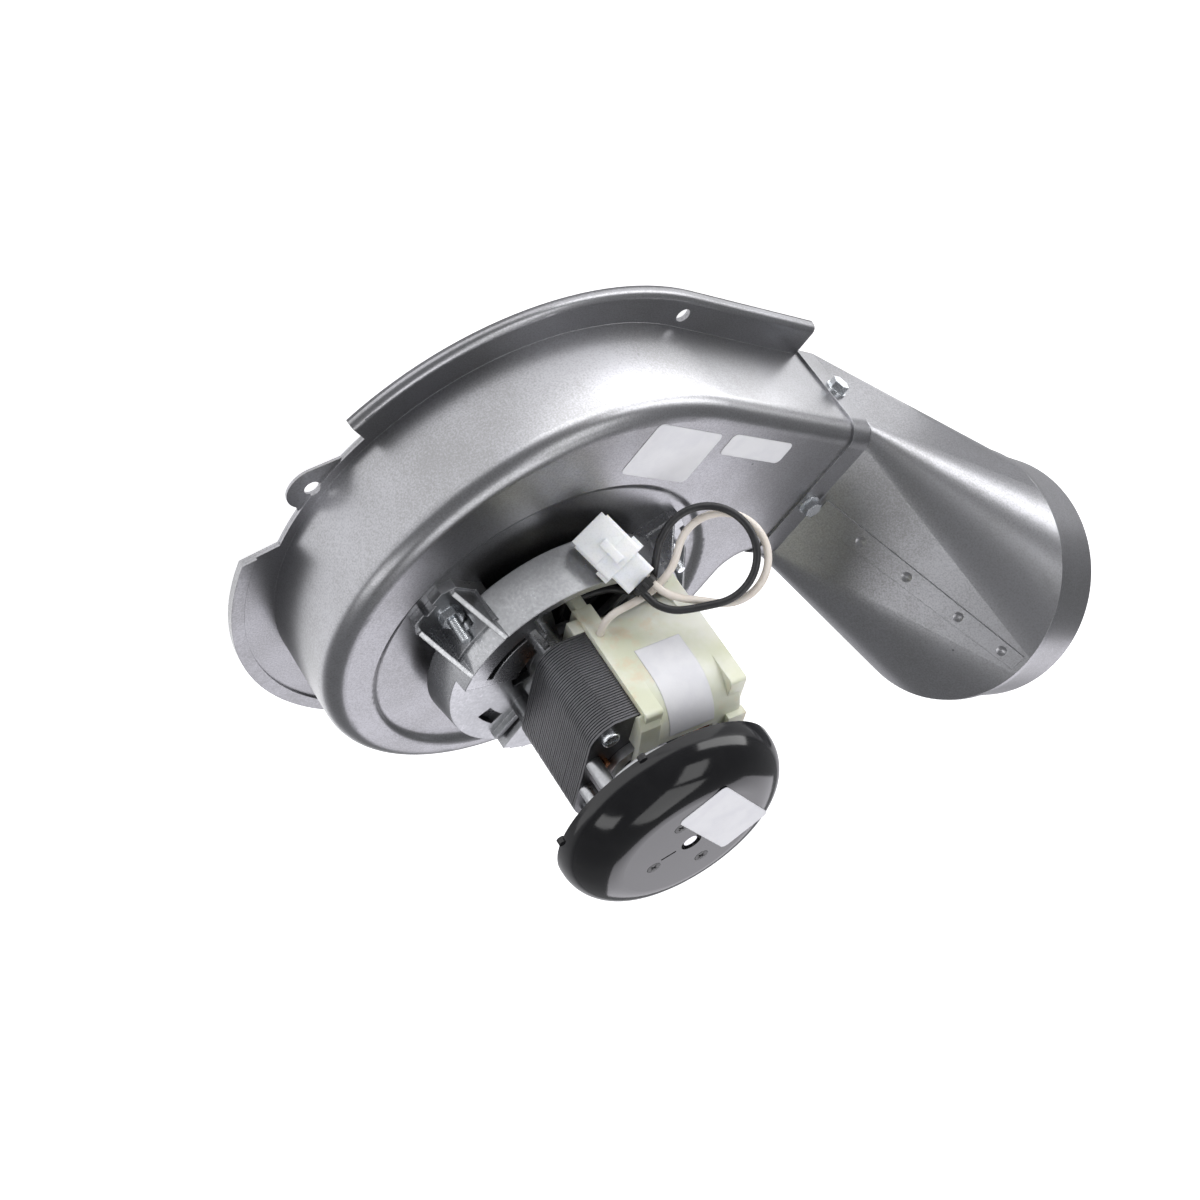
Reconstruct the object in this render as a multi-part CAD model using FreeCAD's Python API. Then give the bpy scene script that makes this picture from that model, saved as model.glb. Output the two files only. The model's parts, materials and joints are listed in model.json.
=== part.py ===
import FreeCAD, Part
import math
import os

# Combustion fan (furnace draft inducer): a pressed steel scroll with a square-to-round outlet,
# and a shaded-pole motor on a die-cast ring in front of it.
# Millimetres. Origin on the shaft axis at the back (gasket) plane, +Z towards the motor,
# +X the way the air leaves, +Y towards the outlet side of the scroll.

Vector = FreeCAD.Vector
Z_AXIS = Vector(0, 0, 1)

# ---------------------------------------------------------------- driving dimensions
SHEET = 1.0                  # steel sheet of the housing
Z_GASKET = 2.0               # gasket thickness, and the back plate's rear face
Z_FLANGE = Z_GASKET + SHEET  # the housing flange lies on the back plate
Z_RECESS = 43.5              # front of the sunk disc that carries the motor mount
Z_FRONT = 46.5               # front face of the scroll
RECESS_R = 64.8              # the recess floor ends here and curves up to RECESS_MOUTH_R
RECESS_MOUTH_R = 70.4
RECESS_LIFT = 0.05           # the upper arc's crest stands this far above the front face
SHAFT_HOLE_R = 7.0
GASKET_R = 60.0
SHOULDER_R = 7.5             # rounded front edge of the scroll

# The scroll is drawn from three arcs, each tangent to the next
ARC_A = (8.0, 8.0, 100.5)    # top to left: centre x, centre y, radius
ARC_B = (-4.5, 8.0, 88.0)    # left to bottom
ARC_C = (-4.5, 3.0, 83.0)    # bottom to right
TONGUE = (88.5, 31.1, 10.0)  # the cutoff, an arc bent the other way
X_NECK = 94.0                # end of the scroll's outlet neck
X_FLANGE_END = 84.0

FLANGE_UP = 13.5             # flange width beyond the wall along the top
FLANGE_THIN = 4.0
LOBE = 17.0                  # back plate edge around the lower half
HEM = 5.0                    # width of the edge folded over the housing flange
LIP_BEND = 2.8

TAB_HOLE = (-97.6, 13.0)
TOP_HOLE = (8.8, 113.8)
LOW_HOLE = (54.0, -67.0)
MOUNT_HOLE_R = 2.9

INLET_R = 38.0
BELL_R = 7.0                 # radius of the inlet's rolled mouth

# Duct: socket strip, square-to-round transition and round collar
X_SOCKET = 85.5
X_BEND = 96.5
X_ROUND = 156.0
X_COLLAR_END = 181.0
DUCT_Y = 74.5
DUCT_Z = 80.5
ROUND_R = 50.8               # 4 in collar
ROUND_R_END = 48.4
DUCT_SHEET = 0.9
NECK_Y = (41.1, 108.5)       # outer faces of the scroll's neck
SCREW_X = 91.0
SCREW_R = 2.0
STRIP_Y = (39.7, NECK_Y[1] + DUCT_SHEET)
STRIP_Z = (Z_GASKET - DUCT_SHEET, Z_FRONT + DUCT_SHEET)
STRIP_INNER_ROUND = 0.6
X_BAND = 153.0               # the transition ends in a short round band from here to X_ROUND
ROUND_FLAT = 5.0             # half angle of the four short chords where the cone meets the band
DUCT_SCREWS = ((Vector(SCREW_X, 72.0, STRIP_Z[1]), Vector(0, 0, 1)),
               (Vector(SCREW_X, STRIP_Y[1], 23.5), Vector(0, 1, 0)),
               (Vector(SCREW_X, STRIP_Y[0], 23.5), Vector(0, -1, 0)))

# Motor mount
MOUNT_BOTTOM = Z_RECESS + 6.7
MOUNT_TOP = Z_RECESS + 24.8
PLATE_BOTTOM = Z_RECESS + 16.5
PLATE_TOP = Z_RECESS + 19.5   # the carrying plate is sunk below the ring's top edge
RIM_INNER_R = 43.4
MOUNT_R_BOTTOM = 49.4
MOUNT_R_TOP = 46.4
MOUNT_WALL = 3.0
EAR_ANGLES = (178.0, 58.0, 298.0)
EAR_END = 62.5
EAR_HALF = 12.0
RIB_Y = 10.0                 # the two triangular ribs stand this far off an ear's middle
SPOT_FACE_R = 5.2
DECK_R = 24.5                # raised decks beside the ears reach inwards to here
DECK_TURN = -2.0             # middle of a deck, counted from its ear
DECK_HALF = 24.0
SLOT_R = (36.0, 38.6)        # curved slots through the decks
SLOT_HALF = 16.5
LOW_RIM = (238.5, 38.5)      # middle and half width of the stretch where the rim stops at the plate
LOW_WINDOWS = ((33.5, 39.0, 251.5, 8.0), (34.5, 40.0, 281.0, 6.0), (14.5, 22.0, 212.0, 25.0))
RIB_TOP = (22.5, 29.0)       # the spokes' ribs reach the laminations between these radii
SPOKE_HALF = 15.0            # degrees kept on each side of a spoke
REAR_HUB_BOTTOM = Z_RECESS + 13.6
REAR_HUB_TOP = Z_RECESS + 24.0
BEARING_R = 8.0
STUD_R_PLACE = 52.0
STUD_R = 2.0
STUD_TOP = Z_RECESS + 17.5
PAD_TOP = Z_RECESS + 4.0
WASHER_TOP = PAD_TOP + 0.8

# Motor, in its own axes: x' across the rotor towards the coil, y' along the coil
MOTOR_TURN = 32.0
STACK_BOTTOM = Z_RECESS + 30.5
STACK_TOP = Z_RECESS + 68.5
STACK_LEFT = -21.5
STACK_RIGHT = 31.0
STACK_HALF = 28.5
STACK_ROUND = 11.0
STACK_STEP = -3.2            # from here on the laminations are narrower, under the coil cover
STACK_NARROW = 23.5
WINDOW = (16.5, 21.5, 13.5)  # x' from, x' to, half length along y'
LEG_LEFT = 21.5              # the coil leg reaches from here to STACK_RIGHT
WINDING = 5.0                # depth of copper around the coil leg
SPOOL_WALL = 0.8
SHADING = (172.0, 154.0)     # angles of each loop's two sides
SHADING_R = 15.2
SHADING_WIRE = 1.1
SHADING_END = 2.2
BORE_R = 13.0
ROTOR_R = 12.6
SHAFT_R = 3.0
BEARING_GAP = 0.03
BRACKET_POSTS = ((-18.4, -8.0), (-18.4, 8.0), (11.8, -11.0), (11.8, 11.0))
BOLTS = ((-14.5, -21.5), (-14.5, 21.5), (26.2, -18.6), (26.2, 18.6))
BOLT_R = 2.0
ARM_BOTTOM = Z_RECESS + 78.0
ARM_TOP = Z_RECESS + 81.0
HUB_TOP = Z_RECESS + 86.0

# Coil cover, outside faces in the motor's axes
COVER_LEFT = -3.0
COVER_RIGHT = 38.5
COVER_HALF = 30.6
COVER_BOTTOM = Z_RECESS + 21.0
COVER_TOP = Z_RECESS + 75.0
COVER_WALL = 1.3
COVER_ROUND = 17.5
COVER_OPEN = 14.0            # half width of the gap left along each face
RIM_LEFT = 4.0               # the left rim runs from COVER_LEFT to here
RIM_RIGHT = 32.0             # the right rim runs from here to COVER_RIGHT
COVER_RIM_TOP = Z_RECESS + 72.0
RIM_REACH = 5.0              # the left rim stops this far from the shaft's axis
BRIDGE_X = (-5.0, 3.2)
HEAD_ROOM = 2.8              # room left over the right bolts' heads, under the panel
EXIT_WHITE = Vector(0.4, COVER_HALF, Z_RECESS + 34.5)
EXIT_BLACK = Vector(2.6, 29.2, Z_RECESS + 17.0)
EXIT_DEPTH = 2.5

# Shroud over the free end of the motor
SHROUD_FACE = Z_RECESS + 107.1
SHROUD_EDGE_R = 16.0
SHROUD_FLAT_R = 27.1
SHROUD_WALL = 1.5
SHROUD_SKIRT = 1.6
SHROUD_HOLE_R = 4.0
SHROUD_SCREW_SHANK = 1.45
SHROUD_HEAD = 1.2            # depth of the countersunk heads
SHROUD_HEAD_R = 2.7
SHROUD_SCREW_R = 15.7
SHROUD_SCREW_ANGLE = 59.4

# Blower wheel
WHEEL_R = 64.0
WHEEL_INNER_R = 52.0
WHEEL_BOTTOM = 11.0
WHEEL_TOP = 39.5
BLADES = 36
HUB_BOTTOM = 25.0
HUB_R = 9.5
SET_SCREW_Z = 31.0
SET_SCREW_R = 2.5

# Cooling fan under the motor mount
FAN_BOTTOM = Z_RECESS + 4.2
FAN_TOP = Z_RECESS + 12.6
FAN_R = 40.0
FAN_BLADES = 9
SHAFT_BOTTOM = 21.0
SHAFT_TOP = Z_RECESS + 106.5

# Leads
LEAD_D = 2.8

# Labels
LABEL_SHEET = 0.15
LABEL_ROUND = 2.4
LABEL_X = (7.5, 26.0)        # the motor label's reach along the coil cover
SHROUD_LABEL = (43.0, 20.5, 5.9, 12.9, SHROUD_FACE, -20.5)   # length, width, x, y, z, turn
LARGE_LABEL = (36.0, 24.0, -5.1, 84.7, Z_FRONT, 0.0)
SMALL_LABEL = (36.0, 10.0, 36.4, 92.9, Z_FRONT, 0.0)

# Lap seam of the transition, on its flat front wall
SEAM_Y = (66.5, 76.5)        # edges of the lap at the strip
SEAM_Y_TOP = (71.0, 78.0)    # edges of the lap at the round band
SEAM_STEP = 0.6
SEAM_WELDS = (0.22, 0.44, 0.69, 0.90)   # spot welds, as parts of the way up
WELD_R = 2.1
WELD_DEPTH = 0.45

os.makedirs("parts", exist_ok=True)


# ---------------------------------------------------------------- small helpers
def box(x0, x1, y0, y1, z0, z1):
    return Part.makeBox(x1 - x0, y1 - y0, z1 - z0, Vector(x0, y0, z0))


def rod(radius, z0, z1, x=0.0, y=0.0):
    return Part.makeCylinder(radius, z1 - z0, Vector(x, y, z0))


def rod_between(start, end, radius):
    return Part.makeCylinder(radius, (end - start).Length, start, end - start)


def ring(outer, inner, z0, z1, x=0.0, y=0.0):
    return rod(outer, z0, z1, x, y).cut(rod(inner, z0 - 1, z1 + 1, x, y))


def polar(radius, angle):
    a = math.radians(angle)
    return radius * math.cos(a), radius * math.sin(a)


def prism(points, z0, z1):
    corners = [Vector(x, y, z0) for x, y in points]
    face = Part.Face(Part.makePolygon(corners + corners[:1]))
    return face.extrude(Vector(0, 0, z1 - z0))


def turned(profile):
    """Solid of revolution about Z from a list of (radius, z) points."""
    corners = [Vector(r, 0, z) for r, z in profile]
    face = Part.Face(Part.makePolygon(corners + corners[:1]))
    return face.revolve(Vector(0, 0, 0), Z_AXIS, 360)


def turned_wire(edges):
    return Part.Face(Part.Wire(edges)).revolve(Vector(0, 0, 0), Z_AXIS, 360)


def line(a, b):
    return Part.LineSegment(Vector(*a), Vector(*b)).toShape()


def arc(centre, radius, start, end, z=0.0):
    """Arc in an XY plane, through three points, angles in degrees."""
    points = []
    for angle in (start, (start + end) / 2.0, end):
        x, y = polar(radius, angle)
        points.append(Vector(centre[0] + x, centre[1] + y, z))
    return Part.Arc(*points).toShape()


def hexagon(across_flats, z0, z1, x=0.0, y=0.0, angle=0.0):
    corner = across_flats / math.sqrt(3)
    points = []
    for i in range(6):
        dx, dy = polar(corner, angle + 60 * i)
        points.append((x + dx, y + dy))
    return prism(points, z0, z1)


def fuse(shapes):
    shapes = list(shapes)
    return shapes[0].multiFuse(shapes[1:]).removeSplitter()


def cut(shape, tools):
    for tool in tools:
        shape = shape.cut(tool)
    return shape


def edges_at_z(shape, z):
    """Edges lying wholly in the plane at height z."""
    found = []
    for edge in shape.Edges:
        bounds = edge.BoundBox
        if abs(bounds.ZMin - z) < 1e-4 and abs(bounds.ZMax - z) < 1e-4:
            found.append(edge)
    return found


def turned_by(shape, angle):
    turned_shape = shape.copy()
    turned_shape.rotate(Vector(0, 0, 0), Z_AXIS, angle)
    return turned_shape


def motor(shape):
    """Carries a shape from the motor's own axes to the fan's."""
    return turned_by(shape, MOTOR_TURN)


def save(name, shapes):
    shapes = shapes if isinstance(shapes, list) else [shapes]
    solids = [solid for shape in shapes for solid in shape.Solids]
    body = solids[0] if len(solids) == 1 else Part.makeCompound(solids)
    body.exportStep("parts/%s.step" % name)
    state = "ok" if all(s.isValid() and s.Volume > 0 for s in solids) else "BAD"
    print("%-22s solids %2d  volume %10.1f  %s" % (name, len(solids), body.Volume, state))


# ---------------------------------------------------------------- scroll
def scroll_wire(grow, x_end, z):
    """Outline of the scroll, moved outwards by grow and open towards x_end."""
    top = ARC_A[1] + ARC_A[2] + grow
    left = ARC_A[0] - ARC_A[2] - grow
    bottom = ARC_B[1] - ARC_B[2] - grow
    right = ARC_C[0] + ARC_C[2] + grow
    inner = TONGUE[1] + TONGUE[2] - grow
    edges = [line((x_end, top, z), (ARC_A[0], top, z)),
             arc(ARC_A, ARC_A[2] + grow, 90, 180, z)]
    if abs(left - (ARC_B[0] - ARC_B[2] - grow)) > 1e-6 or abs(bottom - (ARC_C[1] - ARC_C[2] - grow)) > 1e-6:
        raise ValueError("the scroll's arcs don't meet")
    edges.append(arc(ARC_B, ARC_B[2] + grow, 180, 270, z))
    edges.append(arc(ARC_C, ARC_C[2] + grow, 270, 360, z))
    edges.append(line((right, ARC_C[1], z), (right, TONGUE[1], z)))
    if TONGUE[2] - grow > 0.5:
        edges.append(arc(TONGUE, TONGUE[2] - grow, 180, 90, z))
    else:
        inner = TONGUE[1]
    edges.append(line((max(TONGUE[0], right), inner, z), (x_end, inner, z)))
    edges.append(line((x_end, inner, z), (x_end, top, z)))
    return Part.Wire(edges)


def scroll_prism(grow, x_end, z0, z1):
    return Part.Face(scroll_wire(grow, x_end, z0)).extrude(Vector(0, 0, z1 - z0))


def wide_outline(grow, z0, z1):
    """Scroll outline grown by more than the tongue's radius: the notch at the cutoff closes up."""
    top = ARC_A[1] + ARC_A[2] + grow
    right = ARC_C[0] + ARC_C[2] + grow
    edges = [line((right, top, z0), (ARC_A[0], top, z0)),
             arc(ARC_A, ARC_A[2] + grow, 90, 180, z0),
             arc(ARC_B, ARC_B[2] + grow, 180, 270, z0),
             arc(ARC_C, ARC_C[2] + grow, 270, 360, z0),
             line((right, ARC_C[1], z0), (right, top, z0))]
    return Part.Face(Part.Wire(edges)).extrude(Vector(0, 0, z1 - z0))


# The plan area of each stretch of flange, as masks
UPPER = [(0, 0), (X_FLANGE_END, 0), (X_FLANGE_END, 160), (-160, 160), (-160, 66.0)]
LOWER = [(0, 0), (-84, -4), (-160, -80), (-160, -160), (160, -160), (160, 12), (0, 12)]


def upper_flange():
    """Flange along the top, its outer edge rolled back to the gasket plane."""
    block = wide_outline(FLANGE_UP, 0.0, Z_FLANGE + SHEET).common(prism(UPPER, -1, 10))
    outer_top = [e for e in edges_at_z(block, Z_FLANGE + SHEET) if is_outline(e, FLANGE_UP)]
    block = block.makeFillet(LIP_BEND, outer_top)
    core = wide_outline(FLANGE_UP - SHEET, -1.0, Z_FLANGE).common(prism(UPPER, -2, 10))
    core_top = [e for e in edges_at_z(core, Z_FLANGE) if is_outline(e, FLANGE_UP - SHEET)]
    core = core.makeFillet(LIP_BEND - SHEET, core_top)
    wide_core = core.fuse(prism([(0, 0), (X_FLANGE_END + 1, 0), (X_FLANGE_END + 1, 100), (0, 100)], -1, 0))
    return block.cut(wide_core)


def is_outline(edge, grow):
    """True for an edge on the grown top line or its first arc."""
    middle = edge.valueAt((edge.FirstParameter + edge.LastParameter) / 2.0)
    on_top = abs(middle.y - (ARC_A[1] + ARC_A[2] + grow)) < 0.01
    reach = math.hypot(middle.x - ARC_A[0], middle.y - ARC_A[1])
    return on_top or abs(reach - ARC_A[2] - grow) < 0.01


def mounting_holes(z0, z1):
    return [rod(MOUNT_HOLE_R, z0, z1, *place) for place in (TAB_HOLE, TOP_HOLE, LOW_HOLE)]


def dish(down, top):
    """Solid filling the recess: two equal arcs lead from its floor to its mouth, both lowered by down."""
    width = RECESS_MOUTH_R - RECESS_R
    height = Z_FRONT + RECESS_LIFT - Z_RECESS
    radius = (width ** 2 + height ** 2) / (4 * height)
    half = math.asin(width / 2.0 / radius) / 2.0
    low, high = Z_RECESS - down, Z_FRONT + RECESS_LIFT - down
    middle = (RECESS_R + width / 2.0, 0, (low + high) / 2.0)
    first = (RECESS_R + radius * math.sin(half), 0, low + radius * (1 - math.cos(half)))
    second = (RECESS_MOUTH_R - radius * math.sin(half), 0, high - radius * (1 - math.cos(half)))
    edges = [line((0, 0, low), (RECESS_R, 0, low)),
             Part.Arc(Vector(RECESS_R, 0, low), Vector(*first), Vector(*middle)).toShape(),
             Part.Arc(Vector(*middle), Vector(*second), Vector(RECESS_MOUTH_R, 0, high)).toShape(),
             line((RECESS_MOUTH_R, 0, high), (RECESS_MOUTH_R, 0, top)),
             line((RECESS_MOUTH_R, 0, top), (0, 0, top)), line((0, 0, top), (0, 0, low))]
    return turned_wire(edges)


def scroll_housing():
    outer = scroll_prism(0.0, X_NECK, Z_FLANGE, Z_FRONT)
    front_edges = [e for e in edges_at_z(outer, Z_FRONT) if e.BoundBox.XMin < X_NECK - 0.01]
    outer = outer.makeFillet(SHOULDER_R, front_edges)
    inner = scroll_prism(-SHEET, X_NECK + 5, Z_FLANGE - 1, Z_FRONT - SHEET)
    inner_edges = [e for e in edges_at_z(inner, Z_FRONT - SHEET) if e.BoundBox.XMin < X_NECK + 4.9]
    inner = inner.makeFillet(SHOULDER_R - SHEET, inner_edges)
    recess = dish(0.0, Z_FRONT + 2)
    under = dish(SHEET, Z_FRONT)
    shell = outer.cut(recess).cut(inner.cut(under))
    thin = scroll_prism(FLANGE_THIN, X_FLANGE_END, Z_FLANGE, Z_FLANGE + SHEET)
    lower = wide_outline(LOBE - SHEET, Z_FLANGE, Z_FLANGE + SHEET).common(prism(LOWER, 0, 9))
    opening = scroll_prism(-SHEET, X_NECK + 5, Z_FLANGE - 1, Z_FLANGE + 2)
    flange = fuse([upper_flange(), thin, lower]).cut(opening)
    housing = fuse([shell, flange])
    holes = mounting_holes(-1, Z_FLANGE + 5) + [rod(SHAFT_HOLE_R, Z_RECESS - 5, Z_RECESS + 5)]
    for angle in EAR_ANGLES:
        holes.append(rod(STUD_R + 0.1, Z_RECESS - 5, Z_RECESS + 5, *polar(STUD_R_PLACE, angle)))
    holes += neck_screw_holes()
    return cut(housing, holes)


def neck_screw_holes():
    return [rod_between(seat - 6 * way, seat + 4 * way, SCREW_R + 0.05) for seat, way in DUCT_SCREWS]


def back_plate():
    """Flat plate closing the scroll, with a rolled inlet mouth, a screw tab and a hemmed edge."""
    upper = wide_outline(FLANGE_UP - LIP_BEND - 0.1, Z_GASKET, Z_FLANGE).common(prism(UPPER, 0, 9))
    middle = scroll_prism(FLANGE_THIN, X_NECK, Z_GASKET, Z_FLANGE)
    x0, x1 = X_FLANGE_END + 0.2, X_NECK + 5
    middle = middle.cut(box(x0, x1, 0, NECK_Y[0] + STRIP_INNER_ROUND, 0, 9))
    middle = middle.cut(box(x0, x1, NECK_Y[1] - STRIP_INNER_ROUND, 130, 0, 9))
    lower = wide_outline(LOBE, Z_GASKET, Z_FLANGE + 2 * SHEET).common(prism(LOWER, 0, 9))
    hem_slot = wide_outline(LOBE - SHEET + 0.05, Z_FLANGE, Z_FLANGE + SHEET + 0.03)
    hem_open = wide_outline(LOBE - HEM, Z_FLANGE, 12)
    lower = lower.cut(hem_slot).cut(hem_open)
    tab = fuse([rod(9.5, Z_GASKET, Z_FLANGE, *TAB_HOLE),
                prism([(-98, 3.5), (-80, -12), (-80, 40), (-92, 30), (-103.5, 20.4)], Z_GASKET, Z_FLANGE)])
    plate = fuse([upper, middle, lower, tab])
    top = Z_FLANGE
    high = top + BELL_R - SHEET
    outer = INLET_R + BELL_R
    inner_mid = (BELL_R - SHEET) * math.sqrt(0.5)
    outer_mid = BELL_R * math.sqrt(0.5)
    mouth = turned_wire([
        line((INLET_R, 0, high), (INLET_R + SHEET, 0, high)),
        Part.Arc(Vector(INLET_R + SHEET, 0, high), Vector(outer - inner_mid, 0, high - inner_mid),
                 Vector(outer, 0, top)).toShape(),
        line((outer, 0, top), (outer, 0, top - SHEET)),
        Part.Arc(Vector(outer, 0, top - SHEET), Vector(outer - outer_mid, 0, high - outer_mid),
                 Vector(INLET_R, 0, high)).toShape()])
    plate = plate.cut(rod(INLET_R + BELL_R, 0, 12)).fuse(mouth).removeSplitter()
    return cut(plate, mounting_holes(-1, 12))


def inlet_gasket():
    return ring(GASKET_R, INLET_R + BELL_R + 3, 0.0, Z_GASKET)


# ---------------------------------------------------------------- duct
def rounded_section(x, y0, y1, z0, z1, corner_low, corner_high):
    """Closed wire in the plane at x: a rectangle with rounded corners, eight edges from the low left."""
    centres = [(y0 + corner_low, z0 + corner_low, corner_low, 180),
               (y1 - corner_low, z0 + corner_low, corner_low, 270),
               (y1 - corner_high, z1 - corner_high, corner_high, 0),
               (y0 + corner_high, z1 - corner_high, corner_high, 90)]
    return eight_edges(x, [(cy, cz, radius, start, start + 90) for cy, cz, radius, start in centres])


def round_section(x, radius):
    """Circle in the plane at x, split into four long arcs and four short chords."""
    arcs = []
    for start in (180, 270, 0, 90):
        arcs.append((DUCT_Y, DUCT_Z, radius, start + ROUND_FLAT, start + 90 - ROUND_FLAT))
    return eight_edges(x, arcs)


def eight_edges(x, arcs):
    edges = []
    for i, (cy, cz, radius, start, end) in enumerate(arcs):
        points = []
        for angle in (start, (start + end) / 2.0, end):
            dy, dz = polar(radius, angle)
            points.append(Vector(x, cy + dy, cz + dz))
        edges.append(Part.Arc(*points).toShape())
        after = arcs[(i + 1) % 4]
        dy, dz = polar(after[2], after[3])
        edges.append(Part.LineSegment(points[2], Vector(x, after[0] + dy, after[1] + dz)).toShape())
    return Part.Wire(edges)


def square_to_round(inset):
    y0, y1 = STRIP_Y[0] + inset, STRIP_Y[1] - inset
    low = rounded_section(X_BEND, y0, y1, STRIP_Z[0] + inset, STRIP_Z[1] - inset, 1.5, SHOULDER_R)
    high = round_section(X_BAND, ROUND_R - inset)
    return Part.makeLoft([low, high], True, True)


def front_wall(way, y):
    """Point on the transition's flat front wall: way runs from 0 at the bend to 1 at the band."""
    top = DUCT_Z + ROUND_R * math.cos(math.radians(ROUND_FLAT))
    return Vector(X_BEND + way * (X_BAND - X_BEND), y, STRIP_Z[1] + way * (top - STRIP_Z[1]))


def lap_seam():
    """Raised lap along the front wall, and the shallow hollows its spot welds leave."""
    up = front_wall(1.0, 0) - front_wall(0.0, 0)
    normal = Vector(-up.z, 0, up.x).normalize()
    low, high = 0.02, 0.98
    corners = [front_wall(low, SEAM_Y[0]), front_wall(low, SEAM_Y[1]),
               front_wall(high, SEAM_Y_TOP[1]), front_wall(high, SEAM_Y_TOP[0])]
    corners = [corner - normal * DUCT_SHEET / 2.0 for corner in corners]
    face = Part.Face(Part.makePolygon(corners + corners[:1]))
    lap = face.extrude(normal * (SEAM_STEP + DUCT_SHEET / 2.0))
    ball = (WELD_R ** 2 + WELD_DEPTH ** 2) / (2 * WELD_DEPTH)
    hollows = []
    for way in SEAM_WELDS:
        middle = (sum(SEAM_Y) * (1 - way) + sum(SEAM_Y_TOP) * way) / 2.0
        centre = front_wall(way, middle) + normal * (SEAM_STEP - WELD_DEPTH + ball)
        hollows.append(Part.makeSphere(ball, centre))
    return lap, hollows


def tube_x(outer, inner, x0, x1):
    place = Vector(x0, DUCT_Y, DUCT_Z)
    along = Vector(1, 0, 0)
    return Part.makeCylinder(outer, x1 - x0, place, along).cut(
        Part.makeCylinder(inner, x1 - x0 + 2, place - along, along))


def outlet_transition():
    """Strip around the scroll's neck, square-to-round cone and a short round band."""
    outside = Part.Face(rounded_section(X_SOCKET, STRIP_Y[0], STRIP_Y[1], STRIP_Z[0], STRIP_Z[1],
                                        1.5, SHOULDER_R + DUCT_SHEET))
    inside = Part.Face(rounded_section(X_SOCKET - 1, STRIP_Y[0] + DUCT_SHEET, STRIP_Y[1] - DUCT_SHEET,
                                       STRIP_Z[0] + DUCT_SHEET, STRIP_Z[1] - DUCT_SHEET,
                                       STRIP_INNER_ROUND, SHOULDER_R))
    strip = outside.extrude(Vector(X_BEND - X_SOCKET, 0, 0)).cut(
        inside.extrude(Vector(X_BEND - X_SOCKET + 2, 0, 0)))
    cone = square_to_round(0.0).cut(square_to_round(DUCT_SHEET))
    band = tube_x(ROUND_R, ROUND_R - DUCT_SHEET, X_BAND, X_ROUND)
    lap, hollows = lap_seam()
    duct = fuse([strip, cone, band, lap])
    return cut(duct, hollows + neck_screw_holes())


def outlet_collar():
    """Round pipe collar, slightly tapered, pushed into the transition's band."""
    outside = [(ROUND_R - DUCT_SHEET, X_BAND), (ROUND_R - DUCT_SHEET, X_ROUND),
               (ROUND_R_END, X_COLLAR_END), (ROUND_R_END - 0.8, X_COLLAR_END),
               (ROUND_R - DUCT_SHEET - 0.8, X_ROUND), (ROUND_R - DUCT_SHEET - 0.8, X_BAND)]
    corners = [Vector(x, DUCT_Y, DUCT_Z + r) for r, x in outside]
    face = Part.Face(Part.makePolygon(corners + corners[:1]))
    return face.revolve(Vector(0, DUCT_Y, DUCT_Z), Vector(1, 0, 0), 360)


def duct_screws():
    """Hex washer-head sheet-metal screws through the strip into the neck."""
    screws = []
    for seat, way in DUCT_SCREWS:
        flange = rod_between(seat, seat + 0.9 * way, 4.35)
        head = hexagon(6.35, 0.9, 4.0)
        head.Placement = FreeCAD.Placement(seat, FreeCAD.Rotation(Z_AXIS, way))
        shank = rod_between(seat - 7 * way, seat, SCREW_R)
        tip = Part.makeCone(0.2, SCREW_R, 3, seat - 10 * way, way)
        screws.append(fuse([flange, head, shank, tip]))
    return screws


# ---------------------------------------------------------------- blower wheel and shaft
def blower_wheel():
    disc = ring(WHEEL_R, 9.5, WHEEL_TOP - SHEET, WHEEL_TOP)
    end_ring = ring(WHEEL_R, WHEEL_INNER_R, WHEEL_BOTTOM, WHEEL_BOTTOM + 1.0)
    parts = [disc, end_ring]
    for i in range(BLADES):
        start = polar(WHEEL_INNER_R + 0.3, 360.0 * i / BLADES)
        end = polar(WHEEL_R - 0.3, 360.0 * i / BLADES + 7.0)
        middle = polar((WHEEL_INNER_R + WHEEL_R) / 2.0, 360.0 * i / BLADES + 1.2)
        parts.append(curved_blade(start, middle, end, 0.8, WHEEL_BOTTOM + 0.5, WHEEL_TOP - 0.5))
    wheel = parts[0].multiFuse(parts[1:])
    return wheel.removeSplitter()


def curved_blade(start, middle, end, thickness, z0, z1):
    """Upright blade whose plan is an arc through three points, thickened to one side."""
    near = Part.Arc(Vector(*start, z0), Vector(*middle, z0), Vector(*end, z0)).toShape()
    centre = near.Curve.Center
    shift = []
    for point in (start, middle, end):
        away = Vector(point[0], point[1], z0) - centre
        away.normalize()
        shift.append(Vector(point[0], point[1], z0) + away * thickness)
    far = Part.Arc(*shift).toShape()
    wire = Part.Wire([near, line_between(Vector(*end, z0), shift[2]), far,
                      line_between(shift[0], Vector(*start, z0))])
    return Part.Face(wire).extrude(Vector(0, 0, z1 - z0))


def line_between(a, b):
    return Part.LineSegment(a, b).toShape()


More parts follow.
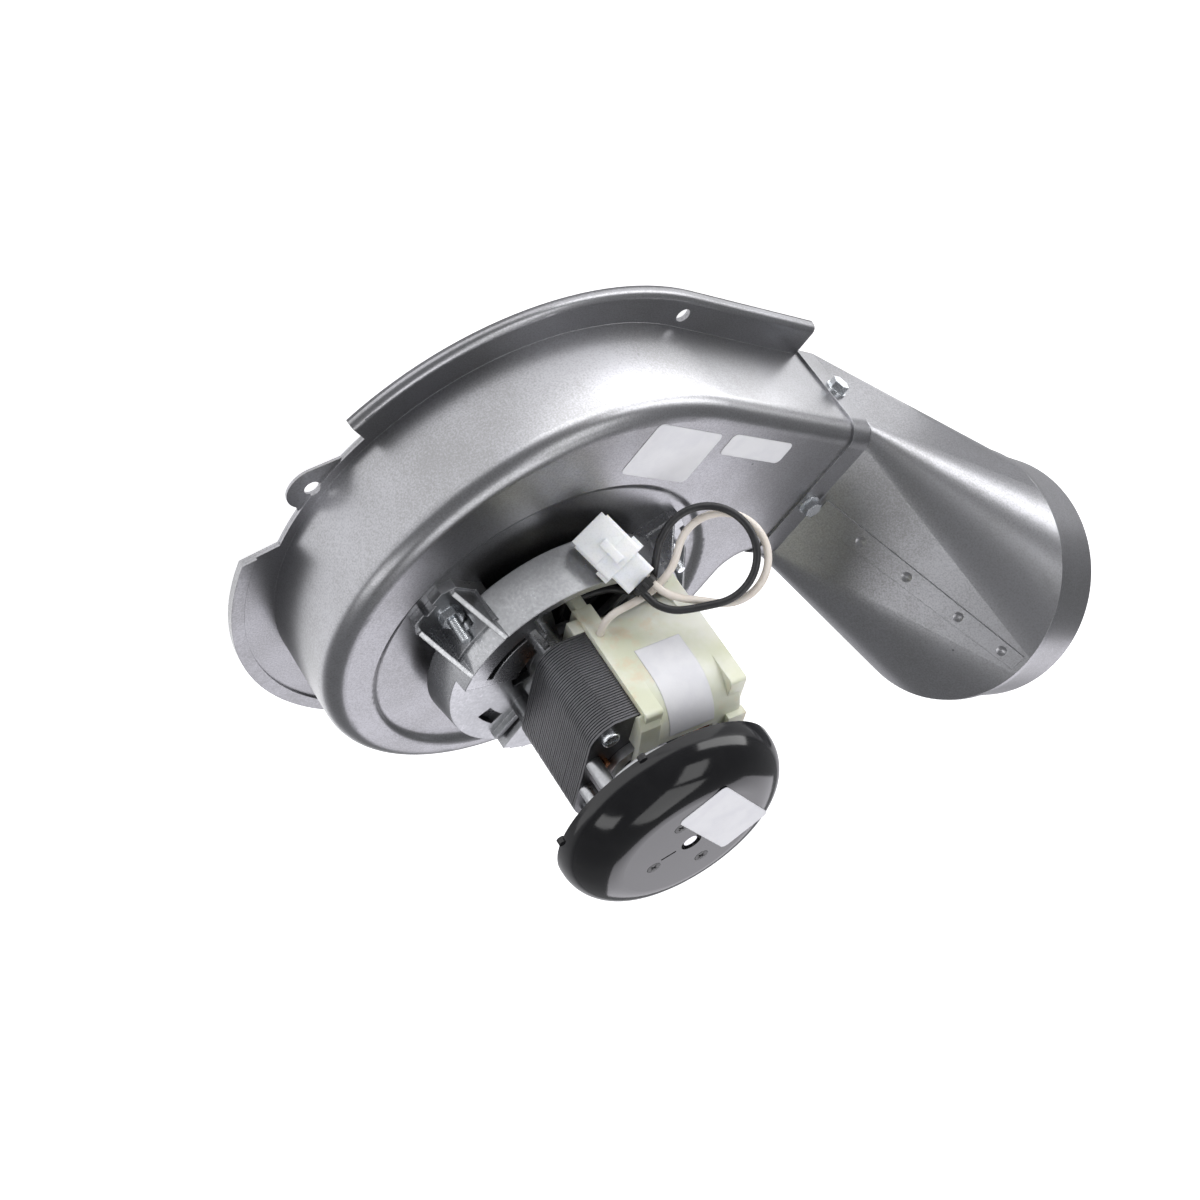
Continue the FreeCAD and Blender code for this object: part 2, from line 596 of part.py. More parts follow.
def rotating_parts():
    hub = fuse([ring(HUB_R, SHAFT_R, HUB_BOTTOM, WHEEL_TOP),
                ring(HUB_R + 3, SHAFT_R, WHEEL_TOP - SHEET - 2.5, WHEEL_TOP - SHEET)])
    screw_line = (Vector(SHAFT_R, 0, SET_SCREW_Z), Vector(HUB_R - 0.3, 0, SET_SCREW_Z))
    hub = hub.cut(rod_between(screw_line[0] - Vector(2, 0, 0), screw_line[1] + Vector(2, 0, 0), SET_SCREW_R))
    flat = box(SHAFT_R - 0.5, SHAFT_R + 1, -5, 5, SHAFT_BOTTOM - 1, WHEEL_TOP)
    shaft = rod(SHAFT_R, SHAFT_BOTTOM, SHAFT_TOP).cut(flat)
    shaft = shaft.makeChamfer(0.4, edges_at_z(shaft, SHAFT_TOP))
    screw = rod_between(Vector(SHAFT_R - 0.5, 0, SET_SCREW_Z), screw_line[1], SET_SCREW_R)
    socket = hexagon(2.5, 0, 2.2)
    socket.Placement = FreeCAD.Placement(screw_line[1] - Vector(2, 0, 0),
                                         FreeCAD.Rotation(Z_AXIS, Vector(1, 0, 0)))
    return hub, shaft, screw.cut(socket)


def cooling_fan():
    """Moulded fan that draws cooling air under the motor mount."""
    hub = ring(8.0, SHAFT_R, FAN_BOTTOM, FAN_TOP)
    disc = ring(FAN_R, SHAFT_R + 1, FAN_BOTTOM, FAN_BOTTOM + 1.6)
    blades = []
    for i in range(FAN_BLADES):
        blade = box(7.5, FAN_R - 1, -0.8, 0.8, FAN_BOTTOM + 1, FAN_TOP - 0.6)
        blades.append(turned_by(blade, 360.0 / FAN_BLADES * i))
    return fuse([hub, disc] + blades)


# ---------------------------------------------------------------- motor mount
def bolt_bosses(radius, z0, z1):
    return [motor(rod(radius, z0, z1, *place)) for place in BOLTS]


def sector(r0, r1, z0, z1, middle, half):
    """Ring sector about the shaft axis, half degrees to each side of middle."""
    block = ring(r1, r0, z0, z1)
    reach = 3 * r1
    points = [(0, 0), polar(reach, middle - half), polar(reach, middle - half / 3.0),
              polar(reach, middle + half / 3.0), polar(reach, middle + half)]
    return block.common(prism(points, z0 - 1, z1 + 1))


def motor_mount():
    wall = turned([(MOUNT_R_BOTTOM - MOUNT_WALL, MOUNT_BOTTOM), (MOUNT_R_BOTTOM, MOUNT_BOTTOM),
                   (MOUNT_R_TOP, MOUNT_TOP), (RIM_INNER_R, MOUNT_TOP), (RIM_INNER_R, PLATE_BOTTOM),
                   (MOUNT_R_TOP - MOUNT_WALL + 0.6, PLATE_BOTTOM)])
    plate = ring(RIM_INNER_R + 0.5, 5.0, PLATE_BOTTOM, PLATE_TOP)
    windows = []
    spokes = [math.degrees(math.atan2(y, x)) + MOTOR_TURN for x, y in BOLTS]
    spokes.sort()
    for i in range(4):
        a = spokes[i]
        b = spokes[(i + 1) % 4] + (360 if i == 3 else 0)
        middle, half = (a + b) / 2.0, (b - a) / 2.0 - SPOKE_HALF
        if abs(middle - LOW_RIM[0]) > LOW_RIM[1]:
            windows.append(sector(14.5, 38.0, PLATE_BOTTOM - 1, PLATE_TOP + 1, middle, half))
    for low_r, high_r, middle, half in LOW_WINDOWS:
        windows.append(sector(low_r, high_r, PLATE_BOTTOM - 1, PLATE_TOP + 1, middle, half))
    plate = cut(plate, windows)
    wall = wall.cut(sector(RIM_INNER_R - 3, 60.0, PLATE_TOP, MOUNT_TOP + 1, *LOW_RIM))
    hub = rod(12.0, REAR_HUB_BOTTOM, REAR_HUB_TOP)
    pieces = [wall, plate, hub] + bolt_bosses(4.5, PLATE_BOTTOM, STACK_BOTTOM)
    for angle in spokes:
        pieces.append(turned_by(spoke_rib(angle > 90 and angle < 300), angle))
    for angle in EAR_ANGLES:
        pieces.append(turned_by(ear(), angle))
        pieces.append(sector(DECK_R, MOUNT_R_TOP - 0.4, PLATE_TOP - 0.5, MOUNT_TOP,
                             angle + DECK_TURN, DECK_HALF))
    mount = fuse(pieces)
    tools = [rod(BEARING_R, REAR_HUB_BOTTOM + 1.5, REAR_HUB_TOP + 5), rod(5.0, 0, 200)]
    tools += bolt_bosses(BOLT_R, PLATE_BOTTOM - 5, STACK_BOTTOM + 5)
    for angle in EAR_ANGLES:
        tools.append(rod(STUD_R + 0.15, 0, 100, *polar(STUD_R_PLACE, angle)))
        tools.append(rod(SPOT_FACE_R, PAD_TOP, PAD_TOP + 9.0, *polar(STUD_R_PLACE, angle)))
        tools.append(sector(SLOT_R[0], SLOT_R[1], PLATE_BOTTOM - 5, MOUNT_TOP + 2, angle, SLOT_HALF))
    tools.append(motor(box(COVER_LEFT - 0.4, COVER_RIGHT + 0.4, -COVER_HALF - 0.4, COVER_HALF + 0.4,
                           COVER_BOTTOM - 0.5, MOUNT_TOP + 1).cut(fuse(
                               [rod(5.0, 0, 200, *place) for place in BOLTS]))))
    return cut(mount, tools)


def spoke_rib(tall):
    """Upright rib along +X; a tall one rises to the laminations, away from the coil."""
    reach = RIM_INNER_R + 0.5
    low, high = PLATE_TOP - 0.5, PLATE_TOP + 2.6
    profile = [(10.0, low), (reach, low), (reach, high)]
    if tall:
        profile += [(RIB_TOP[1], STACK_BOTTOM - 0.3), (RIB_TOP[0], STACK_BOTTOM - 0.3), (16.0, high)]
    profile.append((10.0, high))
    corners = [Vector(r, -1.2, z) for r, z in profile]
    return Part.Face(Part.makePolygon(corners + corners[:1])).extrude(Vector(0, 2.4, 0))


def ear():
    """One mounting ear along +X: pad, riser into the ring, two triangular ribs and an end notch."""
    pad = box(44.0, EAR_END, -EAR_HALF, EAR_HALF, Z_RECESS, PAD_TOP)
    pad = pad.cut(box(EAR_END - 2.2, EAR_END + 1, -2.6, 2.6, Z_RECESS - 1, PAD_TOP + 1))
    corner_cut = prism([(EAR_END - 4, EAR_HALF), (EAR_END, EAR_HALF - 4), (EAR_END, EAR_HALF)],
                       Z_RECESS - 1, PAD_TOP + 1)
    pad = pad.cut(corner_cut).cut(corner_cut.mirror(Vector(0, 0, 0), Vector(0, 1, 0)))
    riser = box(40.0, 50.5, -EAR_HALF, EAR_HALF, Z_RECESS, PLATE_BOTTOM + 1)
    riser = riser.common(rod(MOUNT_R_BOTTOM, 0, 100).cut(rod(MOUNT_R_BOTTOM - 5.6, -1, 101)))
    ribs = []
    for y in (-RIB_Y, RIB_Y):
        corners = [Vector(44.5, y - 1, PAD_TOP - 0.5), Vector(59.0, y - 1, PAD_TOP - 0.5),
                   Vector(59.0, y - 1, PAD_TOP + 1.2), Vector(45.6, y - 1, MOUNT_TOP),
                   Vector(44.5, y - 1, MOUNT_TOP)]
        ribs.append(Part.Face(Part.makePolygon(corners + corners[:1])).extrude(Vector(0, 2, 0)))
    return fuse([pad, riser] + ribs).cut(rod(MOUNT_R_BOTTOM - 5.6, 0, 200))


def studs():
    made = []
    for angle in EAR_ANGLES:
        x, y = polar(STUD_R_PLACE, angle)
        under = Z_RECESS - SHEET
        stud = fuse([rod(3.9, under - 1.2, under, x, y), rod(STUD_R, under, STUD_TOP, x, y)])
        made.append(stud.makeChamfer(0.4, edges_at_z(stud, STUD_TOP)))
    return made


def washers():
    return [ring(4.5, STUD_R + 0.1, PAD_TOP, WASHER_TOP, *polar(STUD_R_PLACE, a)) for a in EAR_ANGLES]


def nuts():
    made = []
    for angle in EAR_ANGLES:
        x, y = polar(STUD_R_PLACE, angle)
        nut = hexagon(8.0, WASHER_TOP, WASHER_TOP + 3.2, x, y, angle)
        made.append(nut.cut(rod(STUD_R + 0.02, 0, 100, x, y)))
    return made


# ---------------------------------------------------------------- motor
def bearing(z0, z1):
    return ring(BEARING_R, SHAFT_R + BEARING_GAP, z0, z1)


def stack_plan(z0, z1):
    """Outline of the laminations: rounded at the rotor end, narrower under the coil cover."""
    left = box(STACK_LEFT, STACK_STEP, -STACK_HALF, STACK_HALF, z0, z1)
    corners = [e for e in left.Edges if e.BoundBox.XMax < STACK_LEFT + 1e-3 and e.BoundBox.ZLength > 1]
    left = left.makeFillet(STACK_ROUND, corners)
    right = box(STACK_STEP - 1, STACK_RIGHT, -STACK_NARROW, STACK_NARROW, z0, z1)
    return left.fuse(right).removeSplitter()


def shading_rods(angle_shift):
    z0, z1 = STACK_BOTTOM - SHADING_END, STACK_TOP + SHADING_END
    return [rod(SHADING_WIRE, z0, z1, *polar(SHADING_R, a + angle_shift)) for a in SHADING]


def shading_coils():
    """Closed copper loops, each around one edge of a pole."""
    loops = []
    for shift in (0.0, 180.0):
        ends = [Vector(*polar(SHADING_R, a + shift), 0) for a in SHADING]
        pieces = shading_rods(shift)
        run = ends[1] - ends[0]
        turn = math.degrees(math.atan2(run.y, run.x))
        for z in (STACK_BOTTOM - SHADING_END, STACK_TOP):
            bar = box(0, run.Length, -SHADING_WIRE + 0.15, SHADING_WIRE - 0.15, z, z + SHADING_END)
            bar.Placement = FreeCAD.Placement(ends[0], FreeCAD.Rotation(Z_AXIS, turn))
            pieces.append(bar)
        loops.append(motor(fuse(pieces)))
    return loops


def stator_stack():
    stack = stack_plan(STACK_BOTTOM, STACK_TOP)
    tools = [rod(BORE_R, 0, 200),
             box(WINDOW[0], WINDOW[1], -WINDOW[2], WINDOW[2], 0, 200)]
    tools += [rod(BOLT_R, 0, 200, *place) for place in BOLTS]
    tools += [rod(1.5, STACK_TOP - 8, 200, *place) for place in BRACKET_POSTS]
    for shift in (0.0, 180.0):
        tools += shading_rods(shift)
    for side in (-1, 1):
        notch = rod(1.6, 0, 200, STACK_STEP - 9.0, side * (STACK_HALF + 0.6))
        tools.append(notch)
    return motor(cut(stack, tools))


def through_bolts():
    """Long screws from the free end through the laminations into the mount."""
    bolts = []
    for x, y in BOLTS:
        head = rod(3.4, STACK_TOP, STACK_TOP + 2.4, x, y)
        head = head.makeFillet(0.9, edges_at_z(head, STACK_TOP + 2.4))
        slot = box(x - 4, x + 4, y - 0.5, y + 0.5, STACK_TOP + 1.4, STACK_TOP + 3)
        bolts.append(motor(fuse([head.cut(slot), rod(BOLT_R, PLATE_BOTTOM - 2.0, STACK_TOP, x, y)])))
    return bolts


def coil_shell(inner, outer, half):
    """Rectangular sleeve around the coil leg; inner and outer are distances from the leg."""
    x0, x1 = LEG_LEFT, STACK_RIGHT
    big = box(x0 - outer, x1 + outer, -half, half, STACK_BOTTOM - outer, STACK_TOP + outer)
    long_edges = [e for e in big.Edges if e.BoundBox.YLength > 1]
    if outer > 2:
        big = big.makeFillet(min(outer - 0.6, 4.0), long_edges)
    small = box(x0 - inner, x1 + inner, -half - 1, half + 1, STACK_BOTTOM - inner, STACK_TOP + inner)
    return big.cut(small)


def coil_bobbin():
    reach = min(LEG_LEFT - WINDOW[0], WINDING) - 0.1
    sleeve = coil_shell(0.0, SPOOL_WALL, WINDOW[2])
    flange = coil_shell(0.0, reach, 0.6)
    flanges = []
    for side in (-1, 1):
        piece = flange.copy()
        piece.translate(Vector(0, side * (WINDOW[2] - 0.6), 0))
        flanges.append(piece)
    return motor(fuse([sleeve] + flanges))


def coil_winding():
    return motor(coil_shell(SPOOL_WALL, WINDING - 0.6, WINDOW[2] - 1.2))


def round_section_block(x0, x1, inset):
    """Block along x' whose y'-z section is a rectangle with large round corners."""
    block = box(x0, x1, -COVER_HALF + inset, COVER_HALF - inset, COVER_BOTTOM + inset, COVER_TOP - inset)
    long_edges = [e for e in block.Edges if e.BoundBox.XLength > 1]
    return block.makeFillet(COVER_ROUND - inset, long_edges)


def rim_bridge():
    """The left rim's stretch over the free end, from its corner to beside the shaft."""
    profile = [(RIM_REACH, STACK_TOP + 4.2), (14.0, STACK_TOP + 4.0), (14.0, STACK_TOP + 0.05),
               (COVER_HALF - 3, STACK_TOP + 0.05), (COVER_HALF - 1, STACK_TOP + 1.5),
               (COVER_HALF - 6, STACK_TOP + 5.0), (RIM_REACH, STACK_TOP + 8.0)]
    corners = [Vector(BRIDGE_X[0], y, z) for y, z in profile]
    face = Part.Face(Part.makePolygon(corners + corners[:1]))
    return face.extrude(Vector(BRIDGE_X[1] - BRIDGE_X[0], 0, 0))


def coil_cover():
    """Moulded cover over the coil end: two square rims joined by a rounded panel."""
    half, low, top = COVER_HALF, COVER_BOTTOM, COVER_TOP
    right_end = COVER_RIGHT - 1.5
    panel = round_section_block(RIM_LEFT - 1, right_end, 0.0)
    panel = panel.cut(round_section_block(RIM_LEFT - 2, right_end - COVER_WALL, COVER_WALL))
    left = box(COVER_LEFT, RIM_LEFT, -half, half, low, COVER_RIM_TOP)
    right = box(RIM_RIGHT, COVER_RIGHT, -half, half, low, COVER_RIM_TOP)
    right = round_corners(right)
    left = round_corners(left)
    hollow = round_section_block(RIM_LEFT - 0.1, right_end - COVER_WALL, COVER_WALL)
    left_hole = box(COVER_LEFT - 1, RIM_LEFT + 1, -STACK_NARROW - 0.3, STACK_NARROW + 0.3,
                    STACK_BOTTOM - 0.05, STACK_TOP + 0.05)
    rotor_gap = box(COVER_LEFT - 12, RIM_RIGHT, -COVER_OPEN, COVER_OPEN, low - 30, top + 30)
    rotor_gap = rotor_gap.cut(box(RIM_LEFT + 22, 60, -60, 60, 0, 200))
    lugs = [box(-2.0, 2.6, half - 4.0, half, Z_RECESS + 15.2, low + 1)]
    for side in (-1, 1):
        lower = box(-7.5, RIM_LEFT - 0.5, 15.0, half - 1.5, STACK_BOTTOM - 5.6, STACK_BOTTOM - 0.05)
        inner_tab = box(31.0, COVER_RIGHT, 0.6, 16.0, STACK_TOP + 5.2, STACK_TOP + 8.6)
        bridge = rim_bridge()
        for piece in (lower, inner_tab, bridge):
            lugs.append(piece if side > 0 else piece.mirror(Vector(0, 0, 0), Vector(0, 1, 0)))
    body = fuse([panel, left, right]).cut(hollow).cut(left_hole).cut(rotor_gap)
    body = fuse([body] + lugs)
    right_hollow = box(RIM_LEFT, right_end - COVER_WALL, -STACK_NARROW - 0.3, STACK_NARROW + 0.3,
                       STACK_BOTTOM - 0.05, STACK_TOP + 0.05)
    coil_room = box(LEG_LEFT - WINDING - 1, STACK_RIGHT + WINDING + 0.1, -WINDOW[2] - 0.3, WINDOW[2] + 0.3,
                    STACK_BOTTOM - WINDING - 0.2, STACK_TOP + WINDING + 0.2)
    tools = [right_hollow, coil_room]
    tools += [rod(5.0, 0, STACK_BOTTOM + 0.1, *place) for place in BOLTS]
    for x, y in BOLTS:
        high = 200 if x < 0 else STACK_TOP + HEAD_ROOM
        tools.append(rod(3.8, STACK_TOP - 0.1, high, x, y))
    lead_hole = rod_between(EXIT_WHITE - Vector(0, EXIT_DEPTH, 0), EXIT_WHITE + Vector(0, 1, 0),
                            LEAD_D / 2.0)
    tools.append(lead_hole)
    return motor(cut(body, tools))


def round_corners(block):
    edges = [e for e in block.Edges if e.BoundBox.XLength > 1]
    return block.makeFillet(1.6, edges)


def rotor():
    core = ring(ROTOR_R, SHAFT_R, STACK_BOTTOM, STACK_TOP)
    bars = []
    slots = []
    for i in range(17):
        place = polar(ROTOR_R - 1.9, 360.0 * i / 17)
        slots.append(rod(1.2, STACK_BOTTOM - 1, STACK_TOP + 1, *place))
        bars.append(rod(1.2, STACK_BOTTOM, STACK_TOP, *place))
    core = cut(core, slots)
    ends = [ring(ROTOR_R - 0.3, 7.5, STACK_BOTTOM - 3.5, STACK_BOTTOM),
            ring(ROTOR_R - 0.3, 7.5, STACK_TOP, STACK_TOP + 3.5)]
    cage = fuse(ends + bars)
    return core, cage


def front_bracket():
    """Die-cast bridge carrying the free-end bearing and the shroud's four posts."""
    hub = rod(10.5, ARM_BOTTOM, HUB_TOP)
    disc = ring(19.2, 9.0, ARM_BOTTOM, ARM_TOP)
    pieces = [hub, disc]
    for x, y in BRACKET_POSTS:
        length = math.hypot(x, y)
        arm = box(8.0, length, -2.8, 2.8, ARM_BOTTOM, ARM_TOP)
        pieces.append(turned_by(arm, math.degrees(math.atan2(y, x)) + MOTOR_TURN))
        radius = 2.9 if x < 0 else 2.4
        pieces.append(motor(rod(radius, STACK_TOP, ARM_TOP, x, y)))
        pieces.append(motor(rod(1.5, STACK_TOP - 6, STACK_TOP, x, y)))
    inner_shroud = SHROUD_FACE - SHROUD_WALL
    for i in range(4):
        x, y = polar(SHROUD_SCREW_R, SHROUD_SCREW_ANGLE + 90 * i)
        pieces.append(rod(2.8, ARM_TOP - 0.5, inner_shroud, x, y))
    bracket = fuse(pieces)
    tools = [rod(BEARING_R - 1.0, 0, HUB_TOP - 1.0), rod(4.2, 0, 300)]
    for i in range(4):
        x, y = polar(SHROUD_SCREW_R, SHROUD_SCREW_ANGLE + 90 * i)
        tools.append(rod(SHROUD_SCREW_SHANK, inner_shroud - 12, 300, x, y))
    return cut(bracket, tools)


def front_bearing():
    return ring(BEARING_R - 1.0, SHAFT_R + BEARING_GAP, ARM_BOTTOM + 0.5, HUB_TOP - 1.0)


def dome(radius_edge, flat_r, face, rim):
    """Solid inside the shroud's outer skin: straight skirt, rounded edge, flat face."""
    outer = flat_r + radius_edge
    centre_z = face - radius_edge
    half_way = radius_edge * math.sqrt(0.5)
    curve = Part.Arc(Vector(flat_r, 0, face), Vector(flat_r + half_way, 0, centre_z + half_way),
                     Vector(outer, 0, centre_z)).toShape()
    edges = [line((0, 0, rim), (0, 0, face)), line((0, 0, face), (flat_r, 0, face)), curve,
             line((outer, 0, centre_z), (outer, 0, rim)), line((outer, 0, rim), (0, 0, rim))]
    return turned_wire(edges)


def fan_shroud():
    """Gloss dome fixed in front of the free end; open at the back."""
    rim = SHROUD_FACE - SHROUD_EDGE_R - SHROUD_SKIRT
    skin = dome(SHROUD_EDGE_R, SHROUD_FLAT_R, SHROUD_FACE, rim)
    skin = skin.cut(dome(SHROUD_EDGE_R - SHROUD_WALL, SHROUD_FLAT_R, SHROUD_FACE - SHROUD_WALL, rim - 1))
    tools = [rod(SHROUD_HOLE_R, 0, 300)]
    for i in range(4):
        x, y = polar(SHROUD_SCREW_R, SHROUD_SCREW_ANGLE + 90 * i)
        tools.append(rod(SHROUD_SCREW_SHANK + 0.15, 0, 300, x, y))
        tools.append(countersink(x, y))
    start, end = Vector(-7.8, -9.4, SHROUD_FACE), Vector(-4.0, -4.8, SHROUD_FACE)
    groove = rod_between(start, end, 0.45)
    skin = cut(skin, tools + [groove])
    bumps = []
    for angle in (146.0, 206.0, 26.0, 326.0):
        x, y = polar(SHROUD_FLAT_R + SHROUD_EDGE_R - 0.2, angle)
        bumps.append(rod(1.6, rim - 0.9, rim + 1.2, x, y))
    inner = dome(SHROUD_EDGE_R - SHROUD_WALL, SHROUD_FLAT_R, SHROUD_FACE - SHROUD_WALL, rim - 2)
    return fuse([skin] + [bump.cut(inner) for bump in bumps])


def countersink(x, y):
    foot = Vector(x, y, SHROUD_FACE - SHROUD_HEAD)
    return Part.makeCone(SHROUD_SCREW_SHANK, SHROUD_HEAD_R, SHROUD_HEAD, foot)


def shroud_screws():
    """Countersunk screws, flush with the shroud's face."""
    screws = []
    for i in range(4):
        x, y = polar(SHROUD_SCREW_R, SHROUD_SCREW_ANGLE + 90 * i)
        top = SHROUD_FACE + 2
        cross = [box(x - 1.4, x + 1.4, y - 0.3, y + 0.3, SHROUD_FACE - 0.8, top),
                 box(x - 0.3, x + 0.3, y - 1.4, y + 1.4, SHROUD_FACE - 0.8, top)]
        shank = rod(SHROUD_SCREW_SHANK, SHROUD_FACE - 11.0, SHROUD_FACE - SHROUD_HEAD, x, y)
        screws.append(cut(fuse([countersink(x, y), shank]), cross))
    return screws


# ---------------------------------------------------------------- leads
# The slack of the two leads is one turn each, lying in a leaning plane beside the cable tie.
# Lead points are given from the tie: across the loops, down them, and out towards the free side.
TIE = Vector(-12.6, 51.4, 78.8)
OUT = Vector(-0.7696, 0.4400, 0.4627).normalize()
ACROSS = Vector(0.6367, 0.5834, 0.5042)
ACROSS = (ACROSS - OUT * ACROSS.dot(OUT)).normalize()
DOWN = ACROSS.cross(OUT)
SMALL_END = (-3.0, -1.6, -0.6)        # where the leads enter the connector
PIN_PITCH = 4.6


def slack(a, b, c):
    return TIE + ACROSS * a + DOWN * b + OUT * c


def from_motor(x, y, z):
    point = Vector(x, y, z)
    return FreeCAD.Rotation(Z_AXIS, MOTOR_TURN).multVec(point)


def turn_points(a, b, radius, start, end, c, count=13):
    """One turn of slack, made by a loop; angles in degrees, from across towards down."""
    points = []
    for i in range(count):
        dx, dy = polar(radius, start + (end - start) * i / (count - 1.0))
        points.append(slack(a + dx, b + dy, c))
    return points


def connector_entry(side):
    """End point of a lead at the connector's small end, and the direction back along the lead."""
    half = side * PIN_PITCH / 2.0 * math.sqrt(0.5)
    end = slack(SMALL_END[0] + half, SMALL_END[1] - half, SMALL_END[2])
    return end, (ACROSS + DOWN) * math.sqrt(0.5)


def white_route():
    leave = from_motor(0, 1, 0)
    start = from_motor(*EXIT_WHITE) - leave * EXIT_DEPTH
    end, back = connector_entry(1)
    points = [start, start + leave * 7.5]
    points += [slack(-12.6, 9.4, -2.4), slack(-6.8, 6.4, -2.9), slack(-0.8, 3.0, -5.1)]
    points += [slack(4.4, -1.6, -5.8), slack(8.6, -7.6, -6.3)]
    points += turn_points(25.45, -9.75, 16.0, 200.0, 446.0, -6.6)
    points += [slack(17.4, 4.9, -6.3), slack(10.8, 4.3, -3.8), end + back * 7.2, end]
    return points


def black_route():
    end, back = connector_entry(-1)
    base = Z_RECESS
    points = [from_motor(*EXIT_BLACK), from_motor(8.8, 29.2, base + 17.0)]
    points += [from_motor(14.4, 30.4, base + 18.8), from_motor(18.4, 33.0, base + 24.0)]
    points += [from_motor(20.0, 37.6, base + 29.6), slack(1.3, -1.2, -9.2)]
    points += [slack(1.9, -7.6, -6.9), slack(2.7, -12.6, -5.0)]
    points += turn_points(20.1, -10.7, 17.3, 200.0, 448.0, -3.6)
    points += [slack(13.8, 8.0, -3.2), slack(8.2, 8.5, -2.4), slack(2.6, 6.8, -1.4)]
    points += [end + back * 5.6, end]
    return points


def lead(points, label):
    """Round wire along straight runs joined by tangent arcs."""
    runs = [(b - a).Length for a, b in zip(points, points[1:])]
    edges = []
    radii = []
    at = points[0]
    for i in range(1, len(points) - 1):
        back = (points[i - 1] - points[i]).normalize()
        ahead = (points[i + 1] - points[i]).normalize()
        shorter = min(runs[i - 1], runs[i])
        half_turn = (math.pi - back.getAngle(ahead)) / 2.0
        reach = 0.45 * shorter
        radius = reach / math.tan(half_turn)
        radii.append(radius)
        start = points[i] + back * reach
        end = points[i] + ahead * reach
        inward = (back + ahead).normalize()
        centre = points[i] + inward * (radius / math.cos(half_turn))
        middle = centre - inward * radius
        edges.append(line_between(at, start))
        edges.append(Part.Arc(start, middle, end).toShape())
        at = end
    edges.append(line_between(at, points[-1]))
    wire = Part.Wire(edges)
    section = Part.Wire(Part.makeCircle(LEAD_D / 2.0, points[0], points[1] - points[0]))
    tube = wire.makePipeShell([section], True, False)
    expected = math.pi * (LEAD_D / 2.0) ** 2 * wire.Length
    print("%s: length %.1f, smallest radius %.1f, volume ratio %.4f"
          % (label, wire.Length, min(radii), tube.Volume / expected))
    return tube


def slack_frame(shape, a, b, c, turn):
    """Moves a shape drawn along +X (its Z towards the free side) into the slack's axes."""
    rotation = FreeCAD.Rotation(ACROSS, DOWN * -1, OUT, "XYZ")
    spin = FreeCAD.Rotation(Z_AXIS, turn)
    placed = shape.copy()
    placed.Placement = FreeCAD.Placement(slack(a, b, c), rotation.multiply(spin))
    return placed


# The connector is drawn along +X from its small end, then laid up and to the left
CONNECTOR_TURN = 135.0
CONNECTOR_LENGTH = 26.5


def connector():
    """Two-circuit housing: narrow wire end, wider shell, latch ribs and open mating end."""
    neck = box(0.0, 9.0, -6.2, 6.2, -3.6, 3.6)
    shell = box(8.0, CONNECTOR_LENGTH - 2.0, -8.0, 8.0, -3.6, 4.4)
    collar = box(15.0, CONNECTOR_LENGTH, -7.2, 7.2, -3.4, 4.8)
    neck = neck.makeFillet(1.2, [e for e in neck.Edges if e.BoundBox.XLength > 1])
    shell = shell.makeFillet(1.4, [e for e in shell.Edges if e.BoundBox.XLength > 1])
    ribs = [box(10.0, 19.0, -1.6, 1.6, 4.2, 6.0), box(8.0, 13.0, 7.5, 9.2, -2.0, 2.0),
            box(8.0, 13.0, -9.2, -7.5, -2.0, 2.0)]
    body = fuse([neck, shell, collar] + ribs)
    cavities = []
    for y in (-PIN_PITCH / 2.0, PIN_PITCH / 2.0):
        cavities.append(Part.makeCylinder(1.75, CONNECTOR_LENGTH + 2, Vector(1.5, y, 0), Vector(1, 0, 0)))
        cavities.append(Part.makeCylinder(LEAD_D / 2.0 + 0.02, 3, Vector(-0.5, y, 0), Vector(1, 0, 0)))
        cavities.append(Part.makeCylinder(2.05, 12, Vector(19.0, y, 0), Vector(1, 0, 0)))
    body = cut(body, cavities)
    return slack_frame(body, *SMALL_END, CONNECTOR_TURN)


def lead_terminals():
    """Crimped pins inside the connector, each starting at the end of its lead."""
    pins = []
    for y in (-PIN_PITCH / 2.0, PIN_PITCH / 2.0):
        along = Vector(1, 0, 0)
        barrel = Part.makeCylinder(1.3, 10.0, Vector(0, y, 0), along)
        pin = Part.makeCylinder(1.05, 15.0, Vector(10.0, y, 0), along)
        latch = Part.makeCylinder(1.75, 1.2, Vector(12.0, y, 0), along)
        pins.append(slack_frame(fuse([barrel, pin, latch]), *SMALL_END, CONNECTOR_TURN))
    return pins


def cable_tie():
    """Narrow nylon band holding both leads just before the connector, with its head and tail."""
    half = PIN_PITCH / 2.0 + LEAD_D / 2.0
    grip = LEAD_D / 2.0
    wall = TIE_WALL
    band = box(-1.2, 1.2, -half - wall, half + wall, -grip - wall, grip + wall)
    band = band.makeFillet(grip + wall - 0.01, [e for e in band.Edges if e.BoundBox.XLength > 1])
    hole = box(-3, 3, -PIN_PITCH / 2.0, PIN_PITCH / 2.0, -grip, grip)
    tools = [hole]
    for y in (-PIN_PITCH / 2.0, PIN_PITCH / 2.0):
        tools.append(Part.makeCylinder(grip, 6, Vector(-3, y, 0), Vector(1, 0, 0)))
    head = box(-1.9, 1.9, -2.8, 2.4, grip + 0.4, grip + 4.0)
    head = head.makeFillet(0.5, [e for e in head.Edges if e.BoundBox.ZLength > 1])
    tail = box(-1.1, 1.1, -0.6, 0.5, grip + 3.9, grip + 7.4)
    tie = cut(fuse([band, head, tail]), tools)
    return slack_frame(tie, *TIE_PLACE, -45.0)


TIE_WALL = 0.9
TIE_PLACE = (SMALL_END[0] + 1.9 * math.sqrt(0.5), SMALL_END[1] + 1.9 * math.sqrt(0.5), SMALL_END[2])


